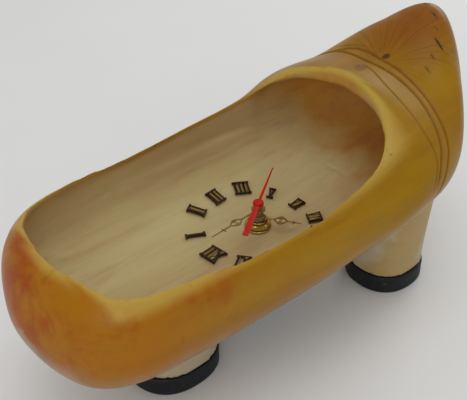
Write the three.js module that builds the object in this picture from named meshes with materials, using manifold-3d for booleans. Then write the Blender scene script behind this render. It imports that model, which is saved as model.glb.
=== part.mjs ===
// Wooden clog with a quartz clock set in its insole.
// Millimetres. +X points to the toe, +Y to the wearer's left, +Z up. The origin is on the
// ground, under the middle of the clog's length and width.
import * as THREE from "three";
import { mergeVertices } from "three/addons/utils/BufferGeometryUtils.js";
import Module from "manifold-3d";

const wasm = await Module();
wasm.setup();

// ---------------------------------------------------------------- driving dimensions
const CLOG_LENGTH = 270;
const CLOG_HALF_WIDTH = 59;
const WALL = 5.2; // side wall of the carved shell
const HEEL_WALL = 12; // back wall at its thickest
const INSTEP_THICKNESS = 8.5; // wood over the toes
const INSOLE_Z = 51.5; // lowest line of the hollow, where the shaft comes through
const DRAWN = 270; // the outlines along the clog are drawn for this length, and stretched
const STRETCH = CLOG_LENGTH / DRAWN;
const HOLLOW_END = DRAWN - 34;
const MOUTH_START = 16.5 * STRETCH; // back edge of the mouth, from the back of the heel
const MOUTH_LENGTH = 170.5 * STRETCH;
const MOUTH_LEAN = 4; // how far the toe end of the mouth lies to the left of the middle
const MOUTH_EDGE = 12; // from the clog's widest line in to the mouth
const MOUTH_HALF_WIDTH = CLOG_HALF_WIDTH - MOUTH_EDGE;

const TIP_HEIGHT = 10; // rubber tips
const SEAT_GAP = 0.3; // between pieces that rest on each other
const TURN_GAP = 0.2; // between a shaft and what it turns in

const SHAFT_X = -7.4; // the clock's axis, on the clog's middle plane
const SOLE_WEB = 3; // wood left above the movement's pocket
const CASE_SIDE = 56;
const CASE_WALL = 1.2;
const CELL_RADIUS = 7.1; // the AA cell sets the depth of the case
const CELL_LENGTH = 49;
const CELL_PLAY = 0.4;
const CASE_DEPTH = 2 * (CELL_RADIUS + CASE_WALL + CELL_PLAY);
const POCKET_CLEARANCE = 0.8;
const GASKET_THICKNESS = 0.8;

const BUSH_RADIUS = 4;
const ARBOR_RADIUS = 0.4;
const SECOND_ARBOR_RADIUS = 0.5;
const MINUTE_TUBE_RADIUS = 1.65;
const HOUR_TUBE_RADIUS = 2.45;
const BUSH_TOP = 4.6; // heights of the stack above the insole
const HOUR_HAND_Z = 5.6;
const MINUTE_HAND_Z = 10.2;
const SECOND_HAND_Z = 13.8;
const HAND_THICKNESS = 0.5;
const HOUR_HAND_LENGTH = 21;
const MINUTE_HAND_LENGTH = 30;
const SECOND_HAND_LENGTH = 31.5;
const SECOND_TAIL_LENGTH = 26;

// The numerals are laid by hand: each one's distance from the shaft to its middle, how many
// degrees it is past its hour, and its share of the full height.
const NUMERALS_LAID = [
  ["XII", 30.7, -1.6, 0.9],
  ["I", 30.9, -0.4, 0.98],
  ["II", 31.2, 2.4, 0.94],
  ["III", 29, -0.5, 0.86],
  ["IIII", 29.4, 0, 0.8],
  ["V", 26.6, 1.3, 0.72],
  ["VI", 25.7, 5.4, 0.7],
  ["VII", 28, 6, 0.7],
  ["VIII", 29, 3, 0.75],
  ["IX", 29.7, 0, 0.85],
  ["X", 29.7, 0, 0.9],
  ["XI", 30.2, 0, 0.9],
];
const DIAL_TURN = -3.4; // degrees that the glued ring is off the clog's middle plane
const NUMERAL_HEIGHT = 10;
const NUMERAL_THICKNESS = 1.2;
const HOUR_SHOWN = 8;
const MINUTE_SHOWN = 0;
const SECOND_SHOWN = 25;

const RAD = Math.PI / 180;

// ---------------------------------------------------------------- solids
// A closed three.js geometry as a manifold-3d solid.
function solid(geometry) {
  const bare = geometry.index ? geometry.toNonIndexed() : geometry.clone();
  bare.deleteAttribute("normal");
  bare.deleteAttribute("uv");
  const merged = mergeVertices(bare, 1e-4);
  return new wasm.Manifold(
    new wasm.Mesh({
      numProp: 3,
      vertProperties: merged.attributes.position.array,
      triVerts: new Uint32Array(merged.index.array),
    }),
  );
}

function geometryOf(made) {
  const mesh = made.getMesh();
  const corners = new Float32Array(mesh.numVert * 3);
  for (let i = 0; i < mesh.numVert; i++)
    corners.set(mesh.vertProperties.subarray(i * mesh.numProp, i * mesh.numProp + 3), i * 3);
  return new THREE.BufferGeometry()
    .setAttribute("position", new THREE.BufferAttribute(corners, 3))
    .setIndex(new THREE.BufferAttribute(mesh.triVerts, 1));
}

const join = (first, ...rest) => rest.reduce((all, one) => all.add(one), first);

// An upright cylinder from z = low to z = high.
function post(radius, low, high, x = 0, y = 0, sides = 12) {
  const shape = new THREE.CylinderGeometry(radius, radius, high - low, sides);
  shape.rotateX(Math.PI / 2).translate(x, y, (low + high) / 2);
  return solid(shape);
}

function block(x0, x1, y0, y1, z0, z1) {
  const shape = new THREE.BoxGeometry(x1 - x0, y1 - y0, z1 - z0);
  shape.translate((x0 + x1) / 2, (y0 + y1) / 2, (z0 + z1) / 2);
  return solid(shape);
}

function plate(shape, low, high, curveSegments = 8) {
  const flat = new THREE.ExtrudeGeometry(shape, { depth: high - low, bevelEnabled: false, curveSegments });
  flat.translate(0, 0, low);
  return solid(flat);
}

function roundedSquare(side, corner) {
  const h = side / 2 - corner;
  const shape = new THREE.Shape();
  [[1, -1], [1, 1], [-1, 1], [-1, -1]].forEach(([sx, sy], i) => {
    shape.absarc(sx * h, sy * h, corner, (i - 1) * (Math.PI / 2), i * (Math.PI / 2), false);
  });
  return shape;
}

// A closed solid through a row of rings that have the same number of points.
function loft(rings) {
  const around = rings[0].length;
  const points = rings.flat();
  const middle = (ring) => ring.reduce((sum, p) => sum.add(p), new THREE.Vector3()).divideScalar(around);
  const first = points.push(middle(rings[0])) - 1;
  const last = points.push(middle(rings.at(-1))) - 1;
  const faces = [];
  for (let j = 0; j < around; j++) {
    const k = (j + 1) % around;
    for (let i = 0; i + 1 < rings.length; i++) {
      const a = i * around;
      const b = a + around;
      faces.push(a + j, a + k, b + k, a + j, b + k, b + j);
    }
    const end = (rings.length - 1) * around;
    faces.push(first, k, j, last, end + j, end + k);
  }
  const shape = new THREE.BufferGeometry().setFromPoints(points).setIndex(faces);
  const made = solid(shape);
  if (made.volume() > 0) return made;
  for (let i = 0; i < faces.length; i += 3) [faces[i], faces[i + 1]] = [faces[i + 1], faces[i]];
  return solid(shape.setIndex(faces));
}

// ---------------------------------------------------------------- the carved clog
// A smooth profile along the clog: its points are [distance from the back of the heel, value],
// with the distance as drawn.
// round says that the profile turns back at both ends, as the outline of a rounded form does.
function profile(points, round = false) {
  const knots = points.map(([u, v]) => new THREE.Vector2(u * STRETCH, v));
  const mirrored = (end, near) => new THREE.Vector2(near.x, 2 * end.y - near.y);
  const all = round ? [mirrored(knots[0], knots[1]), ...knots, mirrored(knots.at(-1), knots.at(-2))] : knots;
  const line = new THREE.SplineCurve(all).getPoints(40 * (all.length - 1));
  const kept = round ? line.slice(40, -40) : line;
  return (u) => {
    let i = kept.findIndex((p) => p.x >= u);
    if (i < 0) i = kept.length - 1;
    if (i === 0) return kept[0].y;
    const [p, q] = [kept[i - 1], kept[i]];
    return p.y + ((q.y - p.y) * (u - p.x)) / Math.max(q.x - p.x, 1e-9);
  };
}

const L = CLOG_LENGTH;
const W = CLOG_HALF_WIDTH;
const HEEL_MID_Z = 65; // height of the heel's furthest point back
const TOE_MID_Z = 103; // height of the toe's furthest point forward

const outer = {
  start: 0,
  end: L,
  halfWidth: profile([[0, 0], [9, 0.5 * W], [27, 0.76 * W], [55, 0.835 * W], [92, 0.88 * W], [137, 0.94 * W],
    [178, W], [210, 0.89 * W], [236, 0.52 * W], [256, 0.17 * W], [DRAWN, 0]], true),
  top: profile([[0, HEEL_MID_Z], [9, 86], [27, 97], [92, 97.5], [156, 100.5], [183, 111], [210, 113],
    [232, 127], [249, 131], [DRAWN, TOE_MID_Z]], true),
  bottom: profile([[0, HEEL_MID_Z], [11, 38], [32, 30], [73, 28], [119, 32], [165, 42], [201, 47],
    [229, 66], [251, 75], [DRAWN, TOE_MID_Z]], true),
  widest: profile([[0, 0.5], [55, 0.56], [183, 0.5], [DRAWN, 0.5]]),
  upper: profile([[0, 2.4], [55, 3], [130, 2.7], [170, 2.1], [210, 2], [DRAWN, 1.8]]),
  lower: profile([[0, 2.2], [73, 2], [DRAWN, 2]]),
};

const hollow = {
  start: HEEL_WALL * STRETCH,
  end: HOLLOW_END * STRETCH,
  halfWidth: profile([[HEEL_WALL, 0], [16, 0.42 * W], [24, 0.66 * W], [35, 0.8 * W - WALL], [60, 0.84 * W - WALL],
    [92, 0.88 * W - WALL], [137, 0.94 * W - 1.5 * WALL], [178, W - 2.5 * WALL], [205, 0.69 * W], [225, 0.4 * W],
    [HOLLOW_END, 0]], true),
  top: profile([[HEEL_WALL, 72], [19, 82], [35, 92], [92, 92], [150, 95.5], [183, 111.5 - INSTEP_THICKNESS],
    [205, 112 - INSTEP_THICKNESS], [225, 98], [HOLLOW_END, 82]], true),
  bottom: profile([[HEEL_WALL, 72], [19, 60], [35, INSOLE_Z + 1.5], [70, INSOLE_Z], [128, INSOLE_Z],
    [165, INSOLE_Z + 1.5], [200, INSOLE_Z + 7], [225, 68], [HOLLOW_END, 82]], true),
  widest: profile([[HEEL_WALL, 0.5], [60, 0.72], [150, 0.72], [HOLLOW_END, 0.5]]),
  upper: profile([[HEEL_WALL, 2.4], [60, 3.4], [150, 3], [HOLLOW_END, 2]]),
  lower: profile([[HEEL_WALL, 2.2], [70, 3], [165, 3], [HOLLOW_END, 2.2]]),
};

// The cross-section of a form, u from the back of the heel: two half superellipses.
function ring(form, u, sides) {
  const half = Math.max(form.halfWidth(u), 0.4);
  const top = form.top(u);
  const bottom = form.bottom(u);
  const mid = bottom + (top - bottom) * form.widest(u);
  const points = [];
  for (let i = 0; i < sides; i++) {
    const a = (2 * Math.PI * i) / sides;
    const [c, s] = [Math.cos(a), Math.sin(a)];
    const power = 2 / (s > 0 ? form.upper(u) : form.lower(u));
    const reach = Math.max(s > 0 ? top - mid : mid - bottom, 0.4);
    points.push(new THREE.Vector3(
      u - L / 2,
      half * Math.sign(c) * Math.abs(c) ** power,
      mid + reach * Math.sign(s) * Math.abs(s) ** power,
    ));
  }
  return points;
}

function formSolid(form, stations, sides) {
  const rings = [];
  for (let i = 0; i <= stations; i++) {
    const share = 0.012 + (0.976 * i) / stations; // the very tips are closed by the end faces
    const u = form.start + ((form.end - form.start) * (1 - Math.cos(Math.PI * share))) / 2;
    rings.push(ring(form, u, sides));
  }
  return loft(rings);
}

// Height of the insole's surface at a place in the hollow.
function insoleHeight(x, y) {
  const u = x + L / 2;
  const half = hollow.halfWidth(u);
  const bottom = hollow.bottom(u);
  const mid = bottom + (hollow.top(u) - bottom) * hollow.widest(u);
  const power = hollow.lower(u);
  return mid - (mid - bottom) * (1 - Math.min(Math.abs(y) / half, 1) ** power) ** (1 / power);
}

// The mouth: an upright cut with this outline, from inside the hollow to above the clog.
function mouthCut() {
  const share = [[0, 0], [0.023, 0.56], [0.065, 0.82], [0.16, 0.93], [0.4, 0.965], [0.65, 1], [0.85, 0.92],
    [0.95, 0.62], [1, 0]];
  const side = profile(share.map(([s, w]) => [(MOUTH_START + s * MOUTH_LENGTH) / STRETCH, w * MOUTH_HALF_WIDTH]), true);
  const steps = 22;
  const outline = [];
  for (let i = 0; i <= steps; i++) {
    const u = MOUTH_START + (MOUTH_LENGTH * (1 - Math.cos((Math.PI * i) / steps))) / 2;
    const lean = MOUTH_LEAN * Math.max((u - MOUTH_START) / MOUTH_LENGTH - 0.6, 0) / 0.4;
    outline.push({ x: u - L / 2, half: side(u), lean });
  }
  const near = outline.map(({ x, half, lean }) => new THREE.Vector2(x, lean + half));
  const other = outline.slice(1, -1).reverse().map(({ x, half, lean }) => new THREE.Vector2(x, lean - half));
  return plate(new THREE.Shape([...near, ...other].reverse()), INSOLE_Z + 22, 140);
}

// The three legs, carved from the same block, and the rubber tips under them.
const LEGS = [
  { name: "heel", x: -63.4 * STRETCH, y: 0, along: 22.6, across: 21.4, top: 40 },
  { name: "front_left", x: 64.7 * STRETCH, y: 23.5, along: 19.8, across: 19, top: 64 },
  { name: "front_right", x: 64.7 * STRETCH, y: -23.5, along: 19.8, across: 19, top: 64 },
];

function ovalRing(leg, grow, z, sides = 28) {
  const squareness = 2 / 2.3;
  const points = [];
  for (let i = 0; i < sides; i++) {
    const a = (2 * Math.PI * i) / sides;
    const [c, s] = [Math.cos(a), Math.sin(a)];
    points.push(new THREE.Vector3(
      leg.x + (leg.along + grow) * Math.sign(c) * Math.abs(c) ** squareness,
      leg.y + (leg.across + grow) * Math.sign(s) * Math.abs(s) ** squareness,
      z,
    ));
  }
  return points;
}

const LEG_INSET = -0.8; // the leg's foot is a little smaller than its rubber tip
const woodenLeg = (leg) => loft([
  ovalRing(leg, LEG_INSET, TIP_HEIGHT + SEAT_GAP),
  ovalRing(leg, LEG_INSET, (TIP_HEIGHT + leg.top) / 2),
  ovalRing(leg, LEG_INSET + 1.5, leg.top),
]);

const SCREW_HEAD_RADIUS = 3.4;
const SCREW_RADIUS = 1.7;
const SCREW_LENGTH = 22;
const SCREW_RECESS = 3.2;
const screwHeadTop = SCREW_RECESS + 2.2;

const TIP_EDGE = 0.8;
function rubberTip(leg) {
  const body = loft([
    ovalRing(leg, -TIP_EDGE, 0),
    ovalRing(leg, 0, TIP_EDGE),
    ovalRing(leg, 0, TIP_HEIGHT - TIP_EDGE),
    ovalRing(leg, -TIP_EDGE, TIP_HEIGHT),
  ]);
  return body
    .subtract(post(SCREW_HEAD_RADIUS + SEAT_GAP, -1, screwHeadTop + SEAT_GAP, leg.x, leg.y, 20))
    .subtract(post(SCREW_RADIUS + SEAT_GAP, -1, TIP_HEIGHT + 1, leg.x, leg.y, 14));
}

function tipScrew(leg) {
  return post(SCREW_HEAD_RADIUS, SCREW_RECESS, screwHeadTop, leg.x, leg.y, 20)
    .add(post(SCREW_RADIUS, SCREW_RECESS, SCREW_RECESS + SCREW_LENGTH, leg.x, leg.y, 14))
    .subtract(block(leg.x - 0.5, leg.x + 0.5, leg.y - 5, leg.y + 5, SCREW_RECESS - 1, SCREW_RECESS + 1));
}

const pocketTop = INSOLE_Z - SOLE_WEB;

const WASHER_RADIUS = 6.4;
const SPOT_FACE_RADIUS = WASHER_RADIUS + 0.6; // flat seat of the washer
function clogBody() {
  const blank = join(formSolid(outer, 32, 36), ...LEGS.map(woodenLeg));
  const pocket = plate(roundedSquare(CASE_SIDE + 2 * POCKET_CLEARANCE, 4), 0, pocketTop, 4).translate([SHAFT_X, 0, 0]);
  const pilots = LEGS.map((leg) =>
    post(SCREW_RADIUS + SEAT_GAP, TIP_HEIGHT, SCREW_RECESS + SCREW_LENGTH + 1, leg.x, leg.y, 14));
  return blank
    .subtract(join(formSolid(hollow, 26, 32), mouthCut()))
    .subtract(pocket)
    .subtract(post(SPOT_FACE_RADIUS, INSOLE_Z, INSOLE_Z + 8, SHAFT_X, 0, 24))
    .subtract(post(BUSH_RADIUS + SEAT_GAP, 0, INSOLE_Z + 20, SHAFT_X, 0, 24))
    .subtract(join(...pilots));
}

// ---------------------------------------------------------------- numerals
const STROKE = 1.35;
const THIN_STROKE = 0.8;
const STROKE_PITCH = 2.7;
const LETTER_WIDTH = { I: STROKE_PITCH, V: 5, X: 5.2 };
const SERIF = 0.9;
const numeralWidth = (word) => [...word].reduce((sum, letter) => sum + LETTER_WIDTH[letter], 0);

// One numeral, flat at z = 0 with its top towards +Y: strokes between two serif bars.
function numeral(word, share) {
  const inner = NUMERAL_HEIGHT / 2 - SERIF / 2;
  const stroke = (x0, x1, thick) => {
    const shape = new THREE.Shape([
      new THREE.Vector2(x0 - thick / 2, -inner),
      new THREE.Vector2(x0 + thick / 2, -inner),
      new THREE.Vector2(x1 + thick / 2, inner),
      new THREE.Vector2(x1 - thick / 2, inner),
    ]);
    return plate(shape, 0, NUMERAL_THICKNESS);
  };
  const total = numeralWidth(word);
  const pieces = [];
  let x = -total / 2;
  for (const letter of word) {
    const wide = LETTER_WIDTH[letter];
    const [left, right, mid] = [x + 0.9, x + wide - 0.9, x + wide / 2];
    if (letter === "I") pieces.push(stroke(mid, mid, STROKE));
    if (letter === "V") pieces.push(stroke(mid, left, STROKE), stroke(mid, right, THIN_STROKE));
    if (letter === "X") pieces.push(stroke(right, left, STROKE), stroke(left, right, THIN_STROKE));
    x += wide;
  }
  const bar = (y) => block(-total / 2, total / 2, y - SERIF / 2, y + SERIF / 2, 0, NUMERAL_THICKNESS);
  return join(bar(inner), bar(-inner), ...pieces).scale([share, share, 1]);
}

// ---------------------------------------------------------------- gears
// A wheel or pinion centred on the axis. Teeth are cut thin, so that a train runs free.
function gear(teeth, module, low, high, bore = 0, thickness = 0.36, turn = 0) {
  const outside = (teeth / 2 + (teeth < 12 ? 0.55 : 0.75)) * module;
  const root = (teeth / 2 - (teeth < 12 ? 1.05 : 0.85)) * module;
  const pitch = (2 * Math.PI) / teeth;
  const points = [];
  for (let i = 0; i < teeth; i++) {
    const a = i * pitch + turn;
    const at = (r, angle) => points.push(new THREE.Vector2(r * Math.cos(angle), r * Math.sin(angle)));
    const rootHalf = (thickness / 2 + (teeth < 12 ? 0 : 0.09)) * pitch;
    const tipHalf = (thickness / 2 - (teeth < 12 ? 0.04 : 0.09)) * pitch;
    at(root, a - rootHalf);
    at(outside, a - tipHalf);
    at(outside, a + tipHalf);
    at(root, a + rootHalf);
  }
  const shape = new THREE.Shape(points);
  if (bore) shape.holes.push(new THREE.Path().absarc(0, 0, bore, 0, 2 * Math.PI, true));
  return plate(shape, low, high, 6);
}

// Turn of the teeth of a gear that meshes with another one, which lies at the angle
// towards as seen from it, so that a tooth of one stands in a gap of the other.
function meshTurn(teethFrom, turnFrom, towards, teeth) {
  const ahead = ((towards - turnFrom) * teethFrom) / (2 * Math.PI);
  return towards + Math.PI + ((2 * Math.PI) / teeth) * (0.5 + ahead);
}

// ---------------------------------------------------------------- heights of the movement
const caseTop = pocketTop - 2 * SEAT_GAP - GASKET_THICKNESS;
const ceiling = caseTop - CASE_WALL;
const caseBottom = caseTop - CASE_DEPTH;
const coverTop = caseBottom + CASE_WALL;
const floorZ = coverTop + SEAT_GAP;
const socketTop = ceiling + 0.8;
const pivotTop = socketTop - SEAT_GAP;
const socketBottom = coverTop - 0.8;
const pivotBottom = socketBottom + SEAT_GAP;

// Each wheel's height is given from the ceiling of the case, down to its lower face.
const WHEEL_THICKNESS = 0.8;
const hourWheelZ = ceiling - 2.2;
const minuteWheelZ = ceiling - 3.2;
const centreWheelZ = ceiling - 5.2;
const thirdWheelZ = ceiling - 7.4;
const trainPlateTop = thirdWheelZ - 0.4;
const trainPlateZ = trainPlateTop - 0.6;
const secondWheelZ = trainPlateZ - 1.2;
const intermediateWheelZ = secondWheelZ - 1.2;

const TEETH = { pinion: 8, intermediate: 40, second: 48, third: 60, centre: 64, cannon: 10, minute: 30, hour: 32, set: 20 };
const FINE_MODULE = 0.25;
const DIAL_MODULE = 0.4;
const PIVOT_RADIUS = 0.4;

const apart = (teethA, teethB, module) => ((teethA + teethB) * module) / 2;
const polar = (distance, angle, from = { x: 0, y: 0 }) => ({
  x: from.x + distance * Math.cos(angle),
  y: from.y + distance * Math.sin(angle),
});

const centreDistance = apart(TEETH.pinion, TEETH.centre, FINE_MODULE);
const thirdModule = (2 * centreDistance) / (TEETH.pinion + TEETH.third);
const toThird = 200 * RAD;
const toIntermediate = 60 * RAD;
const toRotor = 0;
const toMinute = 315 * RAD;
const toSet = 270 * RAD;
const thirdAt = polar(centreDistance, toThird);
const intermediateAt = polar(apart(TEETH.pinion, TEETH.second, FINE_MODULE), toIntermediate);
const rotorAt = polar(apart(TEETH.pinion, TEETH.intermediate, FINE_MODULE), toRotor, intermediateAt);
const minuteAt = polar(apart(TEETH.cannon, TEETH.minute, DIAL_MODULE), toMinute);
const setAt = polar(apart(TEETH.minute, TEETH.set, DIAL_MODULE), toSet, minuteAt);

const insideHalf = CASE_SIDE / 2 - CASE_WALL;
const POST_RADIUS = 1;
const postPlaces = [[-13.5, 9.5], [13.5, 9.5], [13.5, -9]];
const MINUTE_POST_RADIUS = 0.6;
const SET_SHAFT_RADIUS = 1.2;

// ---------------------------------------------------------------- the movement's case
function frontCase() {
  const shell = plate(roundedSquare(CASE_SIDE, 3), floorZ, caseTop, 3)
    .subtract(plate(roundedSquare(CASE_SIDE - 2 * CASE_WALL, 2), floorZ - 1, ceiling, 3));
  const posts = postPlaces.map(([x, y]) => post(POST_RADIUS, trainPlateTop + SEAT_GAP, ceiling + 0.4, x, y, 10));
  const minutePost = post(MINUTE_POST_RADIUS, minuteWheelZ - 0.3, ceiling + 0.4, minuteAt.x, minuteAt.y, 10);
  return join(shell, ...posts, minutePost)
    .subtract(post(BUSH_RADIUS + SEAT_GAP, ceiling - 1, caseTop + 1, 0, 0, 20))
    .subtract(post(PIVOT_RADIUS + TURN_GAP, ceiling - 1, socketTop, thirdAt.x, thirdAt.y, 10))
    .subtract(post(SET_SHAFT_RADIUS + TURN_GAP, ceiling - 1, socketTop, setAt.x, setAt.y, 12));
}

function backCover() {
  const sockets = [{ x: 0, y: 0 }, intermediateAt, rotorAt]
    .map((at) => post(SECOND_ARBOR_RADIUS + TURN_GAP, socketBottom, coverTop + 1, at.x, at.y, 10));
  return plate(roundedSquare(CASE_SIDE, 3), caseBottom, coverTop, 3)
    .subtract(join(...sockets))
    .subtract(post(SET_SHAFT_RADIUS + TURN_GAP, caseBottom - 1, coverTop + 1, setAt.x, setAt.y, 12));
}

function trainPlate() {
  const holes = [intermediateAt, rotorAt, thirdAt]
    .map((at) => post(PIVOT_RADIUS + TURN_GAP, trainPlateZ - 1, trainPlateTop + 1, at.x, at.y, 10));
  return block(-15.4, 15, -11, 11.2, trainPlateZ, trainPlateTop)
    .subtract(post(SECOND_ARBOR_RADIUS + TURN_GAP, trainPlateZ - 1, trainPlateTop + 1, 0, 0, 10))
    .subtract(join(...holes));
}

const BUSH_FLANGE_RADIUS = 5.2;
const BUSH_FLANGE = 0.7;
const hourTubeBore = MINUTE_TUBE_RADIUS + TURN_GAP;
const bushBore = HOUR_TUBE_RADIUS + TURN_GAP;
const threadedBush = () =>
  post(BUSH_FLANGE_RADIUS, ceiling - SEAT_GAP - BUSH_FLANGE, ceiling - SEAT_GAP, 0, 0, 20)
    .add(post(BUSH_RADIUS, ceiling - SEAT_GAP - BUSH_FLANGE, INSOLE_Z + BUSH_TOP, 0, 0, 20))
    .subtract(post(bushBore, ceiling - 3, INSOLE_Z + BUSH_TOP + 1, 0, 0, 20));

const WASHER_THICKNESS = 1;
const washerZ = INSOLE_Z + SEAT_GAP;
const NUT_THICKNESS = 2.6;
const NUT_FLATS = 11;
const nutZ = washerZ + WASHER_THICKNESS + SEAT_GAP;
const tube = (radius, bore, low, high, sides = 20) =>
  post(radius, low, high, 0, 0, sides).subtract(post(bore, low - 1, high + 1, 0, 0, sides));

// ---------------------------------------------------------------- wheels, on their own axes
const pinionTurn = 0;
const secondTurn = meshTurn(TEETH.pinion, pinionTurn, toIntermediate + Math.PI, TEETH.second);
const intermediateTurn = meshTurn(TEETH.pinion, pinionTurn, toRotor + Math.PI, TEETH.intermediate);
const thirdTurn = meshTurn(TEETH.pinion, pinionTurn, toThird, TEETH.third);
const centreTurn = meshTurn(TEETH.pinion, pinionTurn, toThird + Math.PI, TEETH.centre);
const minuteTurn = meshTurn(TEETH.cannon, pinionTurn, toMinute, TEETH.minute);
const hourTurn = meshTurn(TEETH.pinion, pinionTurn, toMinute + Math.PI, TEETH.hour);
const setTurn = meshTurn(TEETH.minute, minuteTurn, toSet, TEETH.set);

const wheel = (teeth, module, z, turn, bore = 0) =>
  gear(teeth, module, z, z + WHEEL_THICKNESS, bore, undefined, turn);
const pinion = (module, low, high, bore = 0) => gear(TEETH.pinion, module, low, high, bore, undefined, pinionTurn);

const MAGNET_RADIUS = 3;
const magnetZ = floorZ + 0.1;
function rotor() {
  return join(
    post(MAGNET_RADIUS, magnetZ, magnetZ + 1.5, 0, 0, 16),
    pinion(FINE_MODULE, intermediateWheelZ - 0.5, intermediateWheelZ + 1.4),
    post(PIVOT_RADIUS, pivotBottom, trainPlateTop - 0.1, 0, 0, 8),
  );
}

const intermediateWheel = () => join(
  wheel(TEETH.intermediate, FINE_MODULE, intermediateWheelZ, intermediateTurn),
  pinion(FINE_MODULE, intermediateWheelZ + WHEEL_THICKNESS / 2, secondWheelZ + WHEEL_THICKNESS + 0.1),
  post(PIVOT_RADIUS, pivotBottom, trainPlateTop - 0.1, 0, 0, 8),
);

const secondWheel = () => join(
  wheel(TEETH.second, FINE_MODULE, secondWheelZ, secondTurn),
  pinion(thirdModule, trainPlateTop + 0.2, thirdWheelZ + WHEEL_THICKNESS + 0.2),
  post(SECOND_ARBOR_RADIUS, pivotBottom, INSOLE_Z + SECOND_HAND_Z + 0.6, 0, 0, 10),
);

const thirdWheel = () => join(
  wheel(TEETH.third, thirdModule, thirdWheelZ, thirdTurn),
  pinion(FINE_MODULE, thirdWheelZ + WHEEL_THICKNESS / 2, centreWheelZ + WHEEL_THICKNESS + 0.2),
  post(PIVOT_RADIUS, trainPlateZ + 0.1, pivotTop, 0, 0, 8),
);

const minuteTubeBore = SECOND_ARBOR_RADIUS + TURN_GAP;
const centreWheel = () => wheel(TEETH.centre, FINE_MODULE, centreWheelZ, centreTurn, minuteTubeBore);

const CANNON_FLANGE_RADIUS = 2.4;
const cannonZ = centreWheelZ + WHEEL_THICKNESS + SEAT_GAP;
function minuteTube() {
  return join(
    post(CANNON_FLANGE_RADIUS, cannonZ, cannonZ + 0.5, 0, 0, 16),
    gear(TEETH.cannon, DIAL_MODULE, cannonZ + 0.4, minuteWheelZ + WHEEL_THICKNESS + 0.1, 0, undefined, pinionTurn),
    post(MINUTE_TUBE_RADIUS, cannonZ + 0.4, INSOLE_Z + MINUTE_HAND_Z + 0.7, 0, 0, 16),
  ).subtract(post(minuteTubeBore, cannonZ - 1, INSOLE_Z + MINUTE_HAND_Z + 2, 0, 0, 12));
}

const minuteWheel = () => wheel(TEETH.minute, DIAL_MODULE, minuteWheelZ, minuteTurn)
  .add(pinion(DIAL_MODULE, minuteWheelZ + WHEEL_THICKNESS / 2, hourWheelZ + WHEEL_THICKNESS + 0.2))
  .subtract(post(MINUTE_POST_RADIUS + TURN_GAP, minuteWheelZ - 1, ceiling, 0, 0, 10));

const hourWheel = () => wheel(TEETH.hour, DIAL_MODULE, hourWheelZ, hourTurn)
  .add(post(HOUR_TUBE_RADIUS, hourWheelZ, INSOLE_Z + HOUR_HAND_Z + 0.7, 0, 0, 20))
  .subtract(post(hourTubeBore, hourWheelZ - 1, INSOLE_Z + HOUR_HAND_Z + 2, 0, 0, 16));

const KNOB_RADIUS = 6;
const KNOB_THICKNESS = 3;
function timeSetKnob() {
  const top = caseBottom - SEAT_GAP;
  return join(
    post(KNOB_RADIUS, top - KNOB_THICKNESS, top, 0, 0, 24),
    post(SET_SHAFT_RADIUS, top - 0.5, pivotTop, 0, 0, 12),
    wheel(TEETH.set, DIAL_MODULE, minuteWheelZ, setTurn),
  );
}

// ---------------------------------------------------------------- drive and battery
const STATOR_THICKNESS = 0.9;
const statorTop = floorZ + STATOR_THICKNESS;
const COIL_X = 20.5;
const FLANGE_HALF = 3.2;
const coilZ = statorTop + SEAT_GAP + FLANGE_HALF;
const coilEnds = [-14, 2.8];
const FLANGE_THICKNESS = 1.2;
const CORE_RADIUS = 1.2;

const stator = () => join(
  block(4.8, 24, 1, 11.2, floorZ, statorTop),
  block(13.4, 15.4, -12.6, 1.5, floorZ, statorTop),
  block(13.4, 24, -17, -12.4, floorZ, statorTop),
).subtract(post(MAGNET_RADIUS + 0.5, floorZ - 1, statorTop + 1, rotorAt.x, rotorAt.y, 16));

function alongY(radius, bore, y0, y1, sides = 16) {
  const shape = tube(radius, bore, y0, y1, sides);
  return shape.rotate([-90, 0, 0]).translate([COIL_X, 0, coilZ]);
}

function coilBobbin() {
  const flange = (y) => block(COIL_X - FLANGE_HALF, COIL_X + FLANGE_HALF, y, y + FLANGE_THICKNESS,
    coilZ - FLANGE_HALF, coilZ + FLANGE_HALF);
  return join(flange(coilEnds[0]), flange(coilEnds[1] - FLANGE_THICKNESS),
    post(CORE_RADIUS, coilEnds[0] + 0.5, coilEnds[1] - 0.5, 0, 0, 12).rotate([-90, 0, 0]).translate([COIL_X, 0, coilZ]));
}

const coilWinding = () => alongY(FLANGE_HALF - 0.3, CORE_RADIUS + SEAT_GAP,
  coilEnds[0] + FLANGE_THICKNESS + SEAT_GAP, coilEnds[1] - FLANGE_THICKNESS - SEAT_GAP);

const BOARD = { x0: -26, x1: -11, y0: -26, y1: -12.5, thickness: 1 };
const boardTop = floorZ + BOARD.thickness;
const circuitBoard = () => block(BOARD.x0, BOARD.x1, BOARD.y0, BOARD.y1, floorZ, boardTop);
const chip = () => loft([[3.2, 0], [2.8, 0.9], [1.6, 1.4]].map(([r, up]) =>
  Array.from({ length: 12 }, (_, i) => {
    const at = polar(r, (i * Math.PI) / 6, { x: -21, y: -20 });
    return new THREE.Vector3(at.x, at.y, boardTop + SEAT_GAP + up);
  })));
const crystal = () => post(1, -3, 3, 0, 0, 12).rotate([-90, 0, 0]).translate([-14, -19, boardTop + SEAT_GAP + 1]);

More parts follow.
